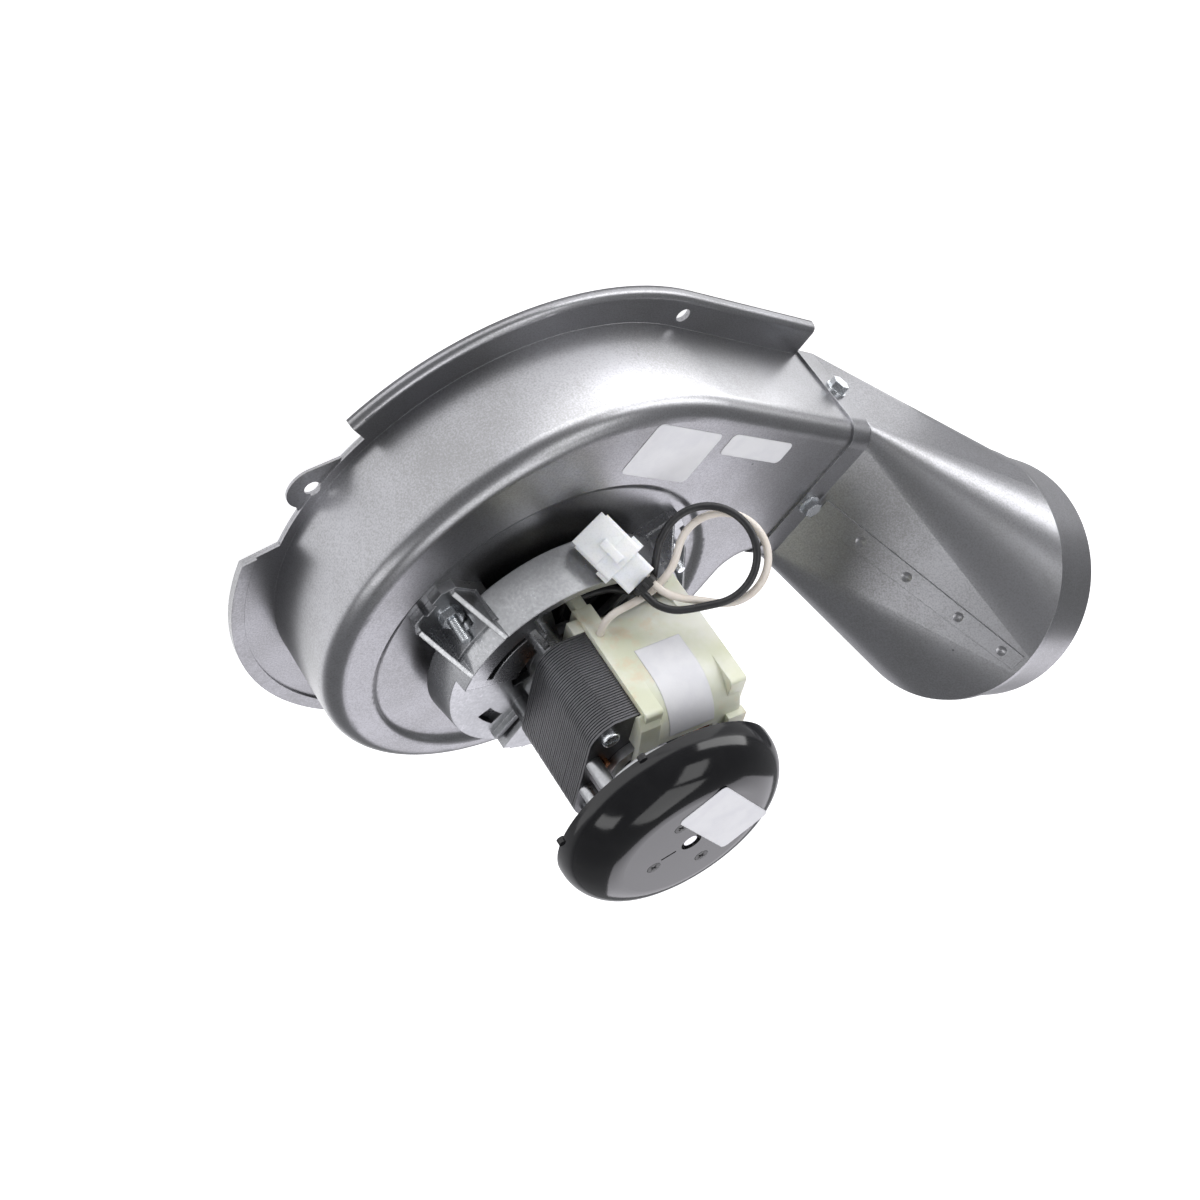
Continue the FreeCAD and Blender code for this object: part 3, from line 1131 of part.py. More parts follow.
# ---------------------------------------------------------------- labels
def label(length, width, x, y, z, turn):
    sheet = box(-length / 2.0, length / 2.0, -width / 2.0, width / 2.0, 0.0, LABEL_SHEET)
    sheet = sheet.makeFillet(LABEL_ROUND, [e for e in sheet.Edges if e.BoundBox.ZLength > 0.1 and
                                           e.BoundBox.XLength < 1e-3 and e.BoundBox.YLength < 1e-3])
    sheet.Placement = FreeCAD.Placement(Vector(x, y, z), FreeCAD.Rotation(Z_AXIS, turn))
    return sheet


def motor_label():
    """Sticker following the rounded panel of the coil cover."""
    skin = round_section_block(LABEL_X[0], LABEL_X[1], -LABEL_SHEET).cut(
        round_section_block(LABEL_X[0] - 1, LABEL_X[1] + 1, 0.0))
    keep = box(LABEL_X[0], LABEL_X[1], 16.5, COVER_HALF + 1, Z_RECESS + 46.0, COVER_TOP + 1)
    return motor(skin.common(keep))


def build():
    hub, shaft, set_screw = rotating_parts()
    core, cage = rotor()
    white = lead(white_route(), "lead_white")
    black = lead(black_route(), "lead_black")
    save("scroll_housing", scroll_housing())
    save("back_plate", back_plate())
    save("inlet_gasket", inlet_gasket())
    save("outlet_transition", outlet_transition())
    save("outlet_collar", outlet_collar())
    save("duct_screws", duct_screws())
    save("blower_wheel", blower_wheel())
    save("wheel_hub", hub)
    save("set_screw", set_screw)
    save("motor_shaft", shaft)
    save("cooling_fan", cooling_fan())
    save("motor_mount", motor_mount())
    save("mount_studs", studs())
    save("mount_washers", washers())
    save("mount_nuts", nuts())
    save("rear_bearing", bearing(REAR_HUB_BOTTOM + 1.5, REAR_HUB_TOP))
    save("stator_stack", stator_stack())
    save("through_bolts", through_bolts())
    save("shading_coils", shading_coils())
    save("coil_bobbin", coil_bobbin())
    save("coil_winding", coil_winding())
    save("coil_cover", coil_cover())
    save("rotor_core", core)
    save("rotor_cage", cage)
    save("front_bracket", front_bracket())
    save("front_bearing", front_bearing())
    save("fan_shroud", fan_shroud())
    save("shroud_screws", shroud_screws())
    save("shroud_label", label(*SHROUD_LABEL))
    save("housing_label_large", label(*LARGE_LABEL))
    save("housing_label_small", label(*SMALL_LABEL))
    save("motor_label", motor_label())
    save("lead_white", white)
    save("lead_black", black)
    save("lead_terminals", lead_terminals())
    save("connector", connector())
    save("cable_tie", cable_tie())


build()
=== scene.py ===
import json
import math

import bmesh
import bpy
from mathutils import Matrix, Vector


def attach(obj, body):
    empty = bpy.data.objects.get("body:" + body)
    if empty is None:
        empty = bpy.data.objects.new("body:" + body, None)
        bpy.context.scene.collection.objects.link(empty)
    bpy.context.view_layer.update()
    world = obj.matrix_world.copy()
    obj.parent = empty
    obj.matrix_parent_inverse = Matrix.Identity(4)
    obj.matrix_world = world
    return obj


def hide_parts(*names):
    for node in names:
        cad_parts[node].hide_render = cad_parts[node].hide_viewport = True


# Combustion fan: a pressed steel scroll with its shaded-pole motor on a die-cast ring.
# Metres. Origin on the shaft axis at the gasket plane, +Z towards the motor, +X the way the
# air leaves.

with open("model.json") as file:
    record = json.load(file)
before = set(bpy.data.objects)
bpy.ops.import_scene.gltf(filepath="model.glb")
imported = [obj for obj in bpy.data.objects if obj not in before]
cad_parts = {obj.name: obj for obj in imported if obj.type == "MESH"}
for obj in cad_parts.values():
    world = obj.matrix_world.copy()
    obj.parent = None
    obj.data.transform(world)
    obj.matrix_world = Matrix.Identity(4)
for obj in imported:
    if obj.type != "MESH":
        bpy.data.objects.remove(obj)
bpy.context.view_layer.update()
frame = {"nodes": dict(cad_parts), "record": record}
nodes = frame["nodes"]
scene = bpy.context.scene
collection = scene.collection

MM = 0.001
BODY = "fan_frame"


# ---------------------------------------------------------------- camera
CAMERA_PLACE = Vector((-0.6329, 0.3866, 0.4401))
LENS = 69.0
SENSOR_WIDTH = 36.0
CLIP_START = 0.01
CLIP_END = 60.0

# The picture's axes: out of it towards the camera, across to the right, and down
OUT = Vector((-0.7696, 0.4400, 0.4627)).normalized()
ACROSS = Vector((0.6367, 0.5834, 0.5042))
ACROSS = (ACROSS - OUT * ACROSS.dot(OUT)).normalized()
DOWN = ACROSS.cross(OUT)


def add_camera():
    """The camera that sees the fan as the photograph does."""
    data = bpy.data.cameras.new("camera")
    data.lens = LENS
    data.sensor_width = SENSOR_WIDTH
    data.sensor_fit = "HORIZONTAL"
    data.clip_start = CLIP_START
    data.clip_end = CLIP_END
    camera = bpy.data.objects.new("camera", data)
    rows = [(ACROSS[k], -DOWN[k], OUT[k], CAMERA_PLACE[k]) for k in range(3)]
    camera.matrix_world = Matrix((*rows, (0, 0, 0, 1)))
    collection.objects.link(camera)
    scene.camera = camera


add_camera()


# ---------------------------------------------------------------- cords
# Millimetres. The loops of slack face the camera and are placed from the cable tie;
# the stretches beside the motor are placed in the motor's own turned frame.
TIE = Vector((-12.6, 51.4, 78.8))
PLUG_END = (-3.0, -1.6, -0.6)
PIN_PITCH = 4.6
RECESS_Z = 43.5
MOTOR_TURN = math.radians(32.0)
LEAD_D = 2.8
DIAGONAL = math.sqrt(0.5)
# How far above the recess in the scroll's face each lead leaves the motor
WHITE_RISE = 34.5
BLACK_RISE = 17.0


def slack(a, b, c):
    """A point given across, down and out from the cable tie."""
    return TIE + ACROSS * a + DOWN * b + OUT * c


def from_motor(x, y, z):
    """A point or direction of the motor's turned frame."""
    cos, sin = math.cos(MOTOR_TURN), math.sin(MOTOR_TURN)
    return Vector((x * cos - y * sin, x * sin + y * cos, z))


def turn_points(a, b, radius, start, end, c, count=13):
    """A loop of slack round (a, b) at height c; angles in degrees, from across towards down."""
    points = []
    for i in range(count):
        angle = math.radians(start + (end - start) * i / (count - 1))
        points.append(slack(a + radius * math.cos(angle), b + radius * math.sin(angle), c))
    return points


def plug_entry(side):
    """Where a lead enters the plug and the way back out of it; side 1 is white, -1 black."""
    half = side * PIN_PITCH / 2.0 * DIAGONAL
    end = slack(PLUG_END[0] + half, PLUG_END[1] - half, PLUG_END[2])
    return end, (ACROSS + DOWN) * DIAGONAL


def white_route():
    leave = from_motor(0, 1, 0)
    start = from_motor(0.4, 30.6, RECESS_Z + WHITE_RISE) - leave * 2.5
    end, back = plug_entry(1)
    return [
        start, start + leave * 7.5,
        slack(-12.6, 9.4, -2.4), slack(-6.8, 6.4, -2.9), slack(-0.8, 3.0, -5.1),
        slack(4.4, -1.6, -5.8), slack(8.6, -7.6, -6.3),
        *turn_points(25.45, -9.75, 16.0, 200.0, 446.0, -6.6),
        slack(17.4, 4.9, -6.3), slack(10.8, 4.3, -3.8),
        end + back * 7.2, end,
    ]


def black_route():
    start_z = RECESS_Z + BLACK_RISE
    end, back = plug_entry(-1)
    return [
        from_motor(2.6, 29.2, start_z), from_motor(8.8, 29.2, start_z),
        from_motor(14.4, 30.4, start_z + 1.8), from_motor(18.4, 33.0, start_z + 7.0),
        from_motor(20.0, 37.6, start_z + 12.6),
        slack(1.3, -1.2, -9.2), slack(1.9, -7.6, -6.9), slack(2.7, -12.6, -5.0),
        *turn_points(20.1, -10.7, 17.3, 200.0, 448.0, -3.6),
        slack(13.8, 8.0, -3.2), slack(8.2, 8.5, -2.4), slack(2.6, 6.8, -1.4),
        end + back * 5.6, end,
    ]


def cord_curve(name, points):
    """A round smooth curve near the points of a route."""
    data = bpy.data.curves.new(name, "CURVE")
    data.dimensions = "3D"
    data.bevel_depth = LEAD_D / 2.0 * MM
    data.bevel_resolution = 6
    data.use_fill_caps = True
    data.resolution_u = 8
    spline = data.splines.new("NURBS")
    spline.points.add(len(points) - 1)
    for point, place in zip(spline.points, points):
        point.co = (place.x * MM, place.y * MM, place.z * MM, 1.0)
    spline.use_endpoint_u = True
    spline.order_u = 3
    curve = bpy.data.objects.new(name, data)
    collection.objects.link(curve)
    return curve


lead_white = cord_curve("lead_white_wire", white_route())
lead_black = cord_curve("lead_black_wire", black_route())


# ---------------------------------------------------------------- materials
# Scales are per metre; a field is the range of noise over which specks or stains appear
SPECK_SCALE = 150.0
SPECK_FIELD_SCALE = 38.0
SPECK_FIELD = (0.60, 0.70)
SPECK_COLOUR = (0.10, 0.10, 0.11)
MOULD_GRAIN = 1500.0
STAIN_SCALE = 52.0
STAIN_FIELD = (0.54, 0.70)
STAIN_SHARE = 0.50
SCATTER_RADIUS = (0.004, 0.0035, 0.0025)


class Nodes:
    """Shorthand for building a node material on the piece's own coordinates."""

    def __init__(self, name):
        self.material = bpy.data.materials.new(name)
        self.material.use_nodes = True
        self.tree = self.material.node_tree
        self.shader = self.tree.nodes["Principled BSDF"]
        self.place = self.add("ShaderNodeTexCoord").outputs["Object"]

    def add(self, kind, **settings):
        node = self.tree.nodes.new(kind)
        for key, value in settings.items():
            setattr(node, key, value)
        return node

    def feed(self, node, socket, value):
        target = node.inputs[socket]
        if isinstance(value, bpy.types.NodeSocket):
            self.tree.links.new(value, target)
        else:
            target.default_value = value

    def set(self, **values):
        """Feed the shader's sockets; an underscore in a name stands for a space."""
        for key, value in values.items():
            self.feed(self.shader, key.replace("_", " "), value)

    def noise(self, scale, detail, rough=0.55):
        node = self.add("ShaderNodeTexNoise")
        self.feed(node, "Vector", self.place)
        self.feed(node, "Scale", scale)
        self.feed(node, "Detail", detail)
        self.feed(node, "Roughness", rough)
        return node.outputs["Fac"]

    def cells(self, scale):
        """Distance from the nearest of many scattered points."""
        node = self.add("ShaderNodeTexVoronoi")
        self.feed(node, "Vector", self.place)
        self.feed(node, "Scale", scale)
        return node.outputs["Distance"]

    def ramp(self, value, low, high, to_low=0.0, to_high=1.0):
        """Smooth step from to_low at low up to to_high at high."""
        node = self.add("ShaderNodeMapRange")
        node.interpolation_type = "SMOOTHSTEP"
        self.feed(node, "Value", value)
        self.feed(node, "From Min", low)
        self.feed(node, "From Max", high)
        self.feed(node, "To Min", to_low)
        self.feed(node, "To Max", to_high)
        return node.outputs["Result"]

    def math(self, kind, a, b):
        node = self.add("ShaderNodeMath", operation=kind)
        self.feed(node, 0, a)
        self.feed(node, 1, b)
        return node.outputs[0]

    def mix(self, share, a, b):
        node = self.add("ShaderNodeMix", data_type="RGBA")
        self.feed(node, "Factor", share)
        for socket, value in ((6, a), (7, b)):
            if isinstance(value, tuple):
                value = (*value, 1.0)
            self.feed(node, socket, value)
        return node.outputs[2]

    def bump(self, height, distance, normal):
        node = self.add("ShaderNodeBump")
        self.feed(node, "Height", height)
        self.feed(node, "Distance", distance)
        self.feed(node, "Strength", 1.0)
        self.feed(node, "Normal", normal)
        return node.outputs["Normal"]

    def rounded(self, radius):
        """Normal that rounds sharp edges off to a radius."""
        node = self.add("ShaderNodeBevel", samples=4)
        self.feed(node, "Radius", radius)
        return node.outputs["Normal"]


def metal(name, colour, dark, rough, grain=900.0, specks=0.0, edge=0.0003, bump=0.00002,
          patches=45.0, fine_share=0.5):
    """Metal with fine grain, soft patches and, where asked, dark specks."""
    n = Nodes(name)
    fine = n.noise(grain, 2.0, 0.6)
    broad = n.noise(patches, 4.0, 0.6)
    tone = n.math("ADD", n.math("MULTIPLY", fine, fine_share),
                  n.math("MULTIPLY", broad, 1.0 - fine_share))
    base = n.mix(n.ramp(tone, 0.36, 0.64), dark, colour)
    if specks:
        near = n.ramp(n.cells(SPECK_SCALE), specks * 0.5, specks, 1.0, 0.0)
        chosen = n.ramp(n.noise(SPECK_FIELD_SCALE, 1.0), *SPECK_FIELD)
        base = n.mix(n.math("MULTIPLY", near, chosen), base, SPECK_COLOUR)
    smooth, dull = rough
    n.set(Base_Color=base, Metallic=1.0, Roughness=n.ramp(tone, 0.3, 0.7, dull, smooth),
          Normal=n.bump(fine, bump, n.rounded(edge)))
    return n.material


def plastic(name, colour, tint, rough, scatter=0.0, patches=90.0, edge=0.0005, bump=0.00003,
            specular=0.5, stain=None):
    """Moulded plastic, paint or paper: faint mottling, and where asked scattered warm stains."""
    n = Nodes(name)
    broad = n.noise(patches, 4.0, 0.6)
    fine = n.noise(MOULD_GRAIN, 2.0, 0.6)
    base = n.mix(n.ramp(broad, 0.38, 0.68), colour, tint)
    if stain:
        field = n.noise(STAIN_SCALE, 5.0, 0.7)
        base = n.mix(n.ramp(field, *STAIN_FIELD, 0.0, STAIN_SHARE), base, stain)
    n.set(Base_Color=base, Roughness=n.ramp(fine, 0.3, 0.7, *rough),
          Normal=n.bump(fine, bump, n.rounded(edge)), Specular_IOR_Level=specular)
    if scatter:
        n.set(Subsurface_Weight=scatter, Subsurface_Radius=SCATTER_RADIUS, Subsurface_Scale=1.0)
    return n.material


MATERIALS = {
    "steel_sheet": metal(
        "aluminised_steel", (0.36, 0.36, 0.38), (0.27, 0.27, 0.275), (0.28, 0.36),
        grain=1500.0, specks=0.10, patches=26.0, fine_share=0.6, bump=0.00001),
    "gasket_fibre": plastic(
        "pressed_fibre", (0.27, 0.26, 0.24), (0.36, 0.35, 0.32), (0.8, 0.95),
        patches=400.0, bump=0.0002),
    "cast_aluminium": metal(
        "cast_aluminium", (0.42, 0.425, 0.44), (0.33, 0.335, 0.345), (0.24, 0.36),
        patches=22.0, specks=0.07, edge=0.0006, bump=0.000015, fine_share=0.4),
    "zinc_steel": metal(
        "zinc_plate", (0.78, 0.80, 0.82), (0.66, 0.69, 0.72), (0.18, 0.32), grain=1200.0),
    "wheel_steel": metal(
        "galvanised_steel", (0.62, 0.63, 0.65), (0.48, 0.49, 0.51), (0.35, 0.5), grain=260.0),
    "shaft_steel": metal(
        "ground_steel", (0.72, 0.72, 0.74), (0.62, 0.62, 0.64), (0.15, 0.25), grain=1500.0),
    "fan_plastic": plastic(
        "black_moulding", (0.035, 0.035, 0.037), (0.05, 0.05, 0.05), (0.4, 0.55)),
    "lamination_steel": metal(
        "lamination_steel", (0.135, 0.135, 0.145), (0.11, 0.11, 0.115), (0.34, 0.46),
        grain=1800.0, patches=25.0),
    "copper": metal(
        "enamelled_copper", (0.80, 0.36, 0.16), (0.62, 0.24, 0.10), (0.2, 0.3)),
    "nylon_cream": plastic(
        "cream_nylon", (0.90, 0.90, 0.80), (0.76, 0.78, 0.60), (0.28, 0.40),
        scatter=0.25, patches=38.0, stain=(0.82, 0.62, 0.42)),
    "nylon_white": plastic(
        "milky_nylon", (0.95, 0.96, 0.97), (0.88, 0.90, 0.92), (0.24, 0.34), scatter=0.5),
    "bearing_bronze": metal(
        "sintered_bronze", (0.62, 0.46, 0.26), (0.50, 0.36, 0.20), (0.35, 0.5), grain=1500.0),
    "rotor_aluminium": metal(
        "rotor_aluminium", (0.72, 0.72, 0.74), (0.6, 0.6, 0.62), (0.35, 0.5), grain=500.0),
    "black_gloss": plastic(
        "black_gloss", (0.004, 0.004, 0.005), (0.007, 0.007, 0.008), (0.10, 0.14),
        edge=0.0002, bump=0.000006, specular=0.42),
    "black_screw": plastic(
        "black_oxide", (0.02, 0.02, 0.02), (0.035, 0.035, 0.035), (0.35, 0.5)),
    "label_paper": plastic(
        "label_paper", (0.86, 0.86, 0.89), (0.80, 0.80, 0.84), (0.42, 0.52)),
    "lead_black": plastic(
        "black_pvc", (0.016, 0.016, 0.018), (0.026, 0.026, 0.028), (0.30, 0.42)),
    "lead_white": plastic(
        "white_pvc", (0.80, 0.74, 0.68), (0.72, 0.65, 0.58), (0.35, 0.48), scatter=0.1),
    "tinned_brass": metal(
        "tinned_brass", (0.76, 0.72, 0.60), (0.66, 0.62, 0.50), (0.2, 0.35)),
    "tie_black": plastic(
        "tie_nylon", (0.018, 0.018, 0.018), (0.03, 0.03, 0.03), (0.4, 0.5)),
}


def paint(piece, material):
    """Gives a piece this material alone."""
    piece.data.materials.clear()
    piece.data.materials.append(material)


SLOTS = {row["node"]: row["material_slot"] for row in frame["record"]["subparts"]}

for name, piece in nodes.items():
    paint(piece, MATERIALS[SLOTS[name]])


# ---------------------------------------------------------------- detailed pieces
WELD = 1e-6
FOOT_BAND = 1e-5
FOOT_NORMAL = -0.99
OUTLINE_ANGLE = 0.01
PLATE_PITCH = 1.0 * MM
PLATE_GAP = 0.26 * MM
PLATE_STAGGER = 0.06 * MM
NOTCH_X = -12.2 * MM
NOTCH_REACH = 1.8 * MM
THREAD_PITCH = 0.7 * MM
THREAD_DEPTH = 0.34 * MM
STUD_R = 2.0 * MM
STUD_HEAD_R = 3.9 * MM
STUD_HEAD = 1.2 * MM
STUD_POINT = 0.5 * MM
WIRE_PITCH = 0.8 * MM
WIRE_GROOVE = 0.3 * MM
COIL_CORNER = 3.2 * MM
CORE_CORNER = 0.2 * MM
PLUG_EDGE = 0.35 * MM
FLAT_ANGLE = math.radians(1.0)
EDGE_ANGLE = math.radians(40.0)
CREASE_ANGLE = math.radians(38.0)


def mesh_piece(name, bm, node):
    """Turns a bmesh into a finished piece of the fixed body that stands for a CAD node."""
    data = bpy.data.meshes.new(name)
    bm.to_mesh(data)
    bm.free()
    piece = bpy.data.objects.new(name, data)
    collection.objects.link(piece)
    paint(piece, MATERIALS[SLOTS[node]])
    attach(piece, BODY)
    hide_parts(node)


def from_node(name):
    """A CAD node's mesh with its doubled corners joined."""
    bm = bmesh.new()
    bm.from_mesh(nodes[name].data)
    bmesh.ops.remove_doubles(bm, verts=bm.verts, dist=WELD)
    return bm


def turned(angle, size=3):
    return Matrix.Rotation(angle, size, "Z")


def corners(points):
    """Lowest and highest coordinates of some points."""
    return ([min(p[k] for p in points) for k in range(3)],
            [max(p[k] for p in points) for k in range(3)])


def plate_outline():
    """The stator pack's foot as flat triangles, side notches filled, and its low and high z."""
    stack = from_node("stator_stack")
    low, high = (limit[2] for limit in corners([v.co for v in stack.verts]))
    foot = {f for f in stack.faces
            if f.normal.z < FOOT_NORMAL and f.calc_center_median().z < low + FOOT_BAND}
    bmesh.ops.delete(stack, geom=[f for f in stack.faces if f not in foot], context="FACES")
    to_motor = turned(-MOTOR_TURN)
    side = max((to_motor @ v.co).y for v in stack.verts)
    for vert in stack.verts:
        place = to_motor @ vert.co
        if abs(place.x - NOTCH_X) < NOTCH_REACH and abs(place.y) > side - NOTCH_REACH:
            place.y = math.copysign(side, place.y)
            vert.co = to_motor.transposed() @ place
    bmesh.ops.dissolve_limit(stack, angle_limit=OUTLINE_ANGLE, verts=stack.verts, edges=stack.edges)
    bmesh.ops.triangulate(stack, faces=stack.faces)
    bmesh.ops.recalc_face_normals(stack, faces=stack.faces)
    return stack, low, high


def laminations():
    """The stator's pack as separate plates, each a hair out of line with the next."""
    outline, low, high = plate_outline()
    count = round((high - low) / PLATE_PITCH)
    pitch = (high - low) / count
    pack = bmesh.new()
    plate = bpy.data.meshes.new("plate")
    for i in range(count):
        one = outline.copy()
        solid = bmesh.ops.extrude_face_region(one, geom=one.faces[:])
        moved = [v for v in solid["geom"] if isinstance(v, bmesh.types.BMVert)]
        thick = pitch - (PLATE_GAP if i < count - 1 else 0.0)
        bmesh.ops.translate(one, verts=moved, vec=(0, 0, thick))
        wave = Vector((math.sin(i * 2.4), math.cos(i * 1.7), 0)) * PLATE_STAGGER / 2.0
        bmesh.ops.translate(one, verts=one.verts, vec=wave + Vector((0, 0, i * pitch)))
        bmesh.ops.recalc_face_normals(one, faces=one.faces)
        one.to_mesh(plate)
        one.free()
        pack.from_mesh(plate)
    outline.free()
    bpy.data.meshes.remove(plate)
    mesh_piece("lamination_plates", pack, "stator_stack")


def lofted(bm, rows, closed=False):
    """Skin over rows of points, each a closed loop: capped at both ends, or joined end to end."""
    made = [[bm.verts.new(point) for point in row] for row in rows]
    pairs = list(zip(made, made[1:])) + ([(made[-1], made[0])] if closed else [])
    for lower, upper in pairs:
        for a in range(len(lower)):
            b = (a + 1) % len(lower)
            bm.faces.new((lower[a], lower[b], upper[b], upper[a]))
    if not closed:
        bm.faces.new(made[0][::-1])
        bm.faces.new(made[-1])


def loose_parts(name):
    """Lowest and highest corners of each separate solid in a CAD node."""
    bm = from_node(name)
    left = set(bm.verts)
    boxes = []
    while left:
        todo = [left.pop()]
        part = []
        while todo:
            vert = todo.pop()
            part.append(vert.co.copy())
            for edge in vert.link_edges:
                other = edge.other_vert(vert)
                if other in left:
                    left.remove(other)
                    todo.append(other)
        boxes.append(corners(part))
    bm.free()
    return sorted(boxes)


def threaded_studs(sides=28, rows_per_turn=8):
    """The mount's studs with their threads cut as a helix and a flat head at the foot."""
    bm = bmesh.new()
    for low, high in loose_parts("mount_studs"):
        x, y = (low[0] + high[0]) / 2.0, (low[1] + high[1]) / 2.0
        start = low[2] + STUD_HEAD
        count = round((high[2] - start) / THREAD_PITCH * rows_per_turn)
        profile = [(low[2], STUD_HEAD_R, 0.0), (start, STUD_HEAD_R, 0.0)]
        for i in range(count + 1):
            z = start + (high[2] - start) * i / count
            profile.append((z, min(STUD_R, STUD_R - STUD_POINT + high[2] - z), THREAD_DEPTH))
        rows = []
        for z, radius, depth in profile:
            row = []
            for j in range(sides):
                phase = (z / THREAD_PITCH - j / sides) % 1.0
                reach = min(radius, STUD_R - depth * abs(2 * phase - 1) if depth else radius)
                turn = 2 * math.pi * j / sides
                row.append((x + reach * math.cos(turn), y + reach * math.sin(turn), z))
            rows.append(row)
        lofted(bm, rows)
    mesh_piece("threaded_studs", bm, "mount_studs")


def rounded_loop(x0, x1, z0, z1, radius, steps=5):
    """Points of a rectangle with rounded corners, in x and z."""
    points = []
    for cx, cz, first in ((x1 - radius, z1 - radius, 0), (x0 + radius, z1 - radius, 90),
                          (x0 + radius, z0 + radius, 180), (x1 - radius, z0 + radius, 270)):
        for i in range(steps + 1):
            angle = math.radians(first + 90.0 * i / steps)
            points.append((cx + radius * math.cos(angle), cz + radius * math.sin(angle)))
    return points


def wound_coil(rows_per_wire=6):
    """The coil as round wires lying side by side, in the space of its CAD sleeve."""
    to_motor = turned(-MOTOR_TURN)
    points = [to_motor @ v.co for v in nodes["coil_winding"].data.vertices]
    low, high = corners(points)
    bore_low, bore_high = corners([p for p in points if all(
        low[k] + COIL_CORNER < p[k] < high[k] - COIL_CORNER for k in (0, 2))])
    count = round((high[1] - low[1]) / WIRE_PITCH)
    pitch = (high[1] - low[1]) / count
    rows = []
    for i in range(count * rows_per_wire + 1):
        groove = WIRE_GROOVE * (1.0 - abs(math.sin(math.pi * i / rows_per_wire)))
        y = low[1] + pitch * i / rows_per_wire
        loop = rounded_loop(low[0] + groove, high[0] - groove, low[2] + groove, high[2] - groove,
                            COIL_CORNER)
        rows.append([(x, y, z) for x, z in loop])
    bore = rounded_loop(bore_low[0], bore_high[0], bore_low[2], bore_high[2], CORE_CORNER)
    rows += [[(x, y, z) for x, z in bore] for y in (high[1], low[1])]
    bm = bmesh.new()
    lofted(bm, rows, closed=True)
    bmesh.ops.transform(bm, matrix=turned(MOTOR_TURN, 4), verts=bm.verts)
    bmesh.ops.recalc_face_normals(bm, faces=bm.faces)
    mesh_piece("coil_wires", bm, "coil_winding")


def soft_plug():
    """The plug's housing with its sharp edges rounded off."""
    bm = from_node("connector")
    bmesh.ops.dissolve_limit(bm, angle_limit=FLAT_ANGLE, verts=bm.verts, edges=bm.edges)
    sharp = [e for e in bm.edges if e.is_manifold and e.calc_face_angle(0.0) > EDGE_ANGLE]
    bmesh.ops.bevel(bm, geom=sharp, offset=PLUG_EDGE, offset_type="OFFSET", segments=2,
                    profile=0.5, affect="EDGES", clamp_overlap=True)
    for face in bm.faces:
        face.smooth = True
    for edge in bm.edges:
        edge.smooth = not edge.is_manifold or edge.calc_face_angle(0.0) < CREASE_ANGLE
    mesh_piece("plug_housing", bm, "connector")


laminations()
threaded_studs()
wound_coil()
soft_plug()


def declare_lead(curve, node):
    """Gives a lead its material and puts it on the fixed body; it stands for the CAD node of that
    name, which is hidden.
    """
    paint(curve, MATERIALS[SLOTS[node]])
    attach(curve, BODY)
    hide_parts(node)


declare_lead(lead_white, "lead_white")
declare_lead(lead_black, "lead_black")


# ---------------------------------------------------------------- floor and light
FLOOR_SIZE = 60.0
FLOOR_LIGHT = (0.80, 0.80, 0.81)
FLOOR_SHADE = (0.78, 0.78, 0.79)
FLOOR_GLOW = 0.80
MIDDLE = Vector((0.03, 0.02, 0.08))
BOUNCE_HEIGHT = 0.0005
WORLD_COLOUR = (0.96, 0.97, 1.0, 1.0)
WORLD_STRENGTH = 0.30
WHITE = (1.0, 1.0, 1.0)


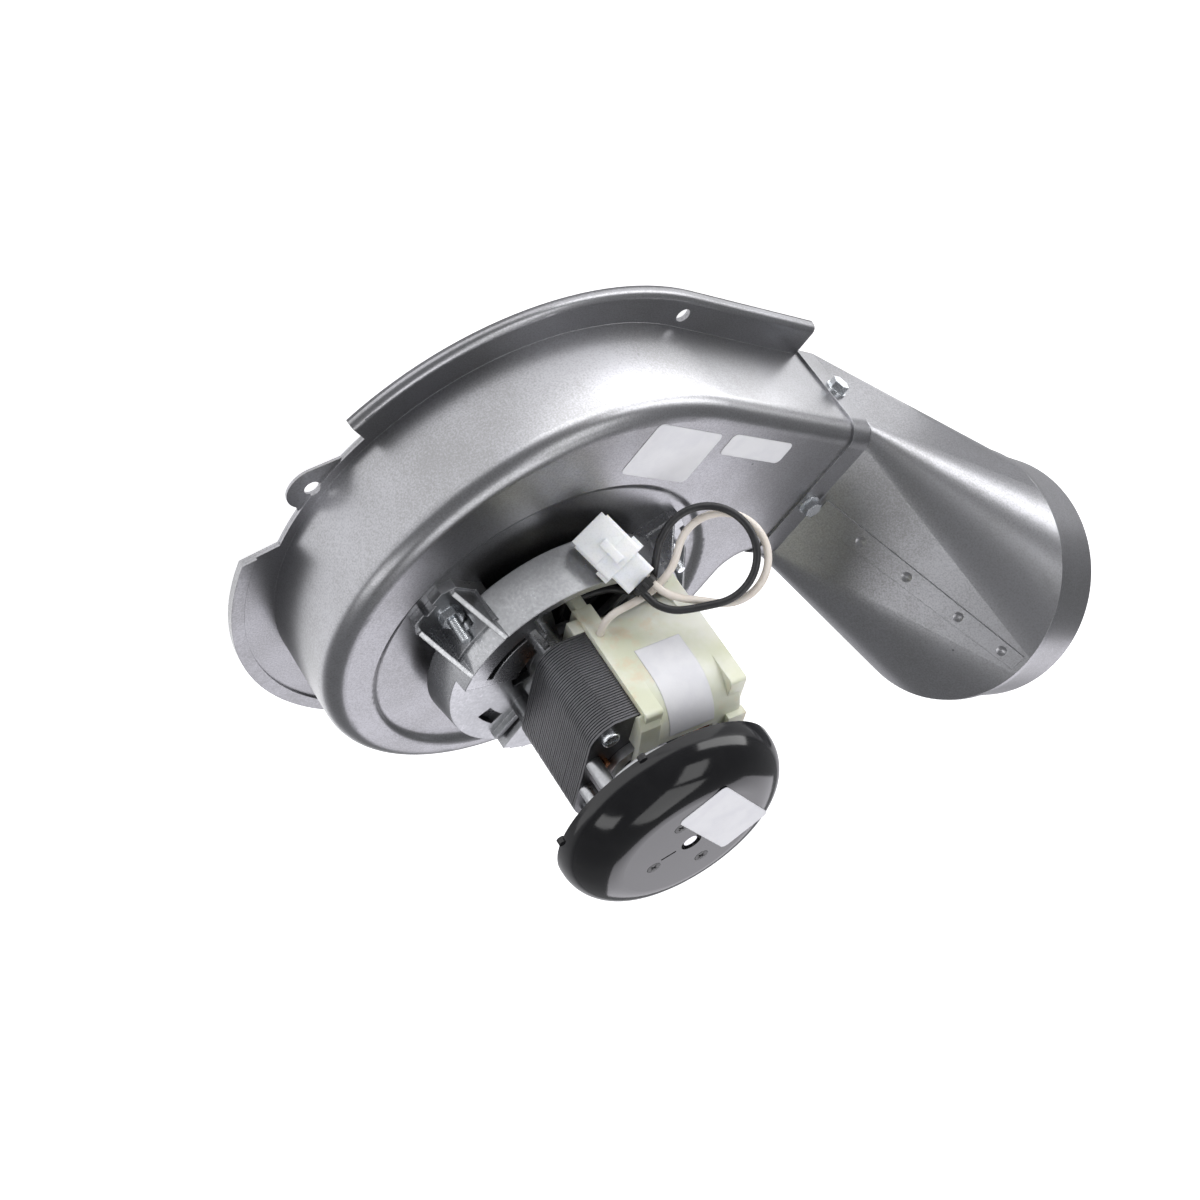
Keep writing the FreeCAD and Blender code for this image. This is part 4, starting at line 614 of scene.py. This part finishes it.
def add_floor():
    """Pale floor, a little brighter to the eye than to the metal that mirrors it."""
    bpy.ops.mesh.primitive_plane_add(size=FLOOR_SIZE, location=(0, 0, 0))
    floor = bpy.context.object
    floor.name = "floor"
    n = Nodes("pale_floor")
    tone = n.mix(n.noise(3.0, 2.0), FLOOR_LIGHT, FLOOR_SHADE)
    seen = n.add("ShaderNodeLightPath").outputs["Is Camera Ray"]
    n.set(Base_Color=tone, Roughness=0.7, Specular_IOR_Level=0.1, Emission_Color=(*WHITE, 1.0),
          Emission_Strength=n.math("MULTIPLY", seen, FLOOR_GLOW))
    paint(floor, n.material)


def area_light(name, place, way, size, radiance, colour=WHITE):
    """Flat light at a place, shining against the direction way; the camera doesn't see it."""
    data = bpy.data.lights.new(name, "AREA")
    data.shape = "RECTANGLE"
    data.size, data.size_y = size
    data.energy = radiance * math.pi * size[0] * size[1]
    data.color = colour
    lamp = bpy.data.objects.new(name, data)
    lamp.visible_camera = False
    turn = way.to_track_quat("Z", "Y").to_matrix().to_4x4()
    lamp.matrix_world = Matrix.Translation(place) @ turn
    collection.objects.link(lamp)


def softbox(name, way, distance, size, radiance, colour=WHITE):
    """Area light standing off the fan in the direction way, facing it."""
    way = Vector(way).normalized()
    area_light(name, MIDDLE + way * distance, way, size, radiance, colour)


def bounce_panel(name, place, size, radiance):
    """Reflector lying just over the floor beside the fan, shining up onto its walls."""
    area_light(name, Vector((*place, BOUNCE_HEIGHT)), Vector((0, 0, -1)), size, radiance)


def add_world():
    """Even grey-white surroundings."""
    world = bpy.data.worlds.new("studio")
    world.use_nodes = True
    background = world.node_tree.nodes["Background"]
    background.inputs["Color"].default_value = WORLD_COLOUR
    background.inputs["Strength"].default_value = WORLD_STRENGTH
    scene.world = world


add_floor()
add_world()
softbox("back_softbox", (0.77, -0.44, 0.46), 1.6, (1.3, 1.0), 1.5, (0.96, 0.94, 1.0))
softbox("side_softbox", (-0.1, 0.62, 0.78), 1.5, (0.6, 0.8), 2.4)
softbox("left_softbox", (-0.85, -0.45, 0.5), 1.5, (0.35, 0.9), 2.8)
softbox("top_softbox", (0.0, 0.0, 1.0), 1.9, (1.2, 1.2), 2.0)
softbox("side_sweep", (0.34, 0.94, 0.12), 1.5, (1.5, 0.45), 4.2)
bounce_panel("side_bounce", (-0.05, 0.40), (0.45, 1.2), 1.0)
bounce_panel("shoulder_bounce", (-0.01, 0.27), (0.25, 0.26), 2.6)
bounce_panel("left_bounce", (-0.70, 0.2), (0.8, 1.4), 1.15)
scene.view_settings.view_transform = "Standard"
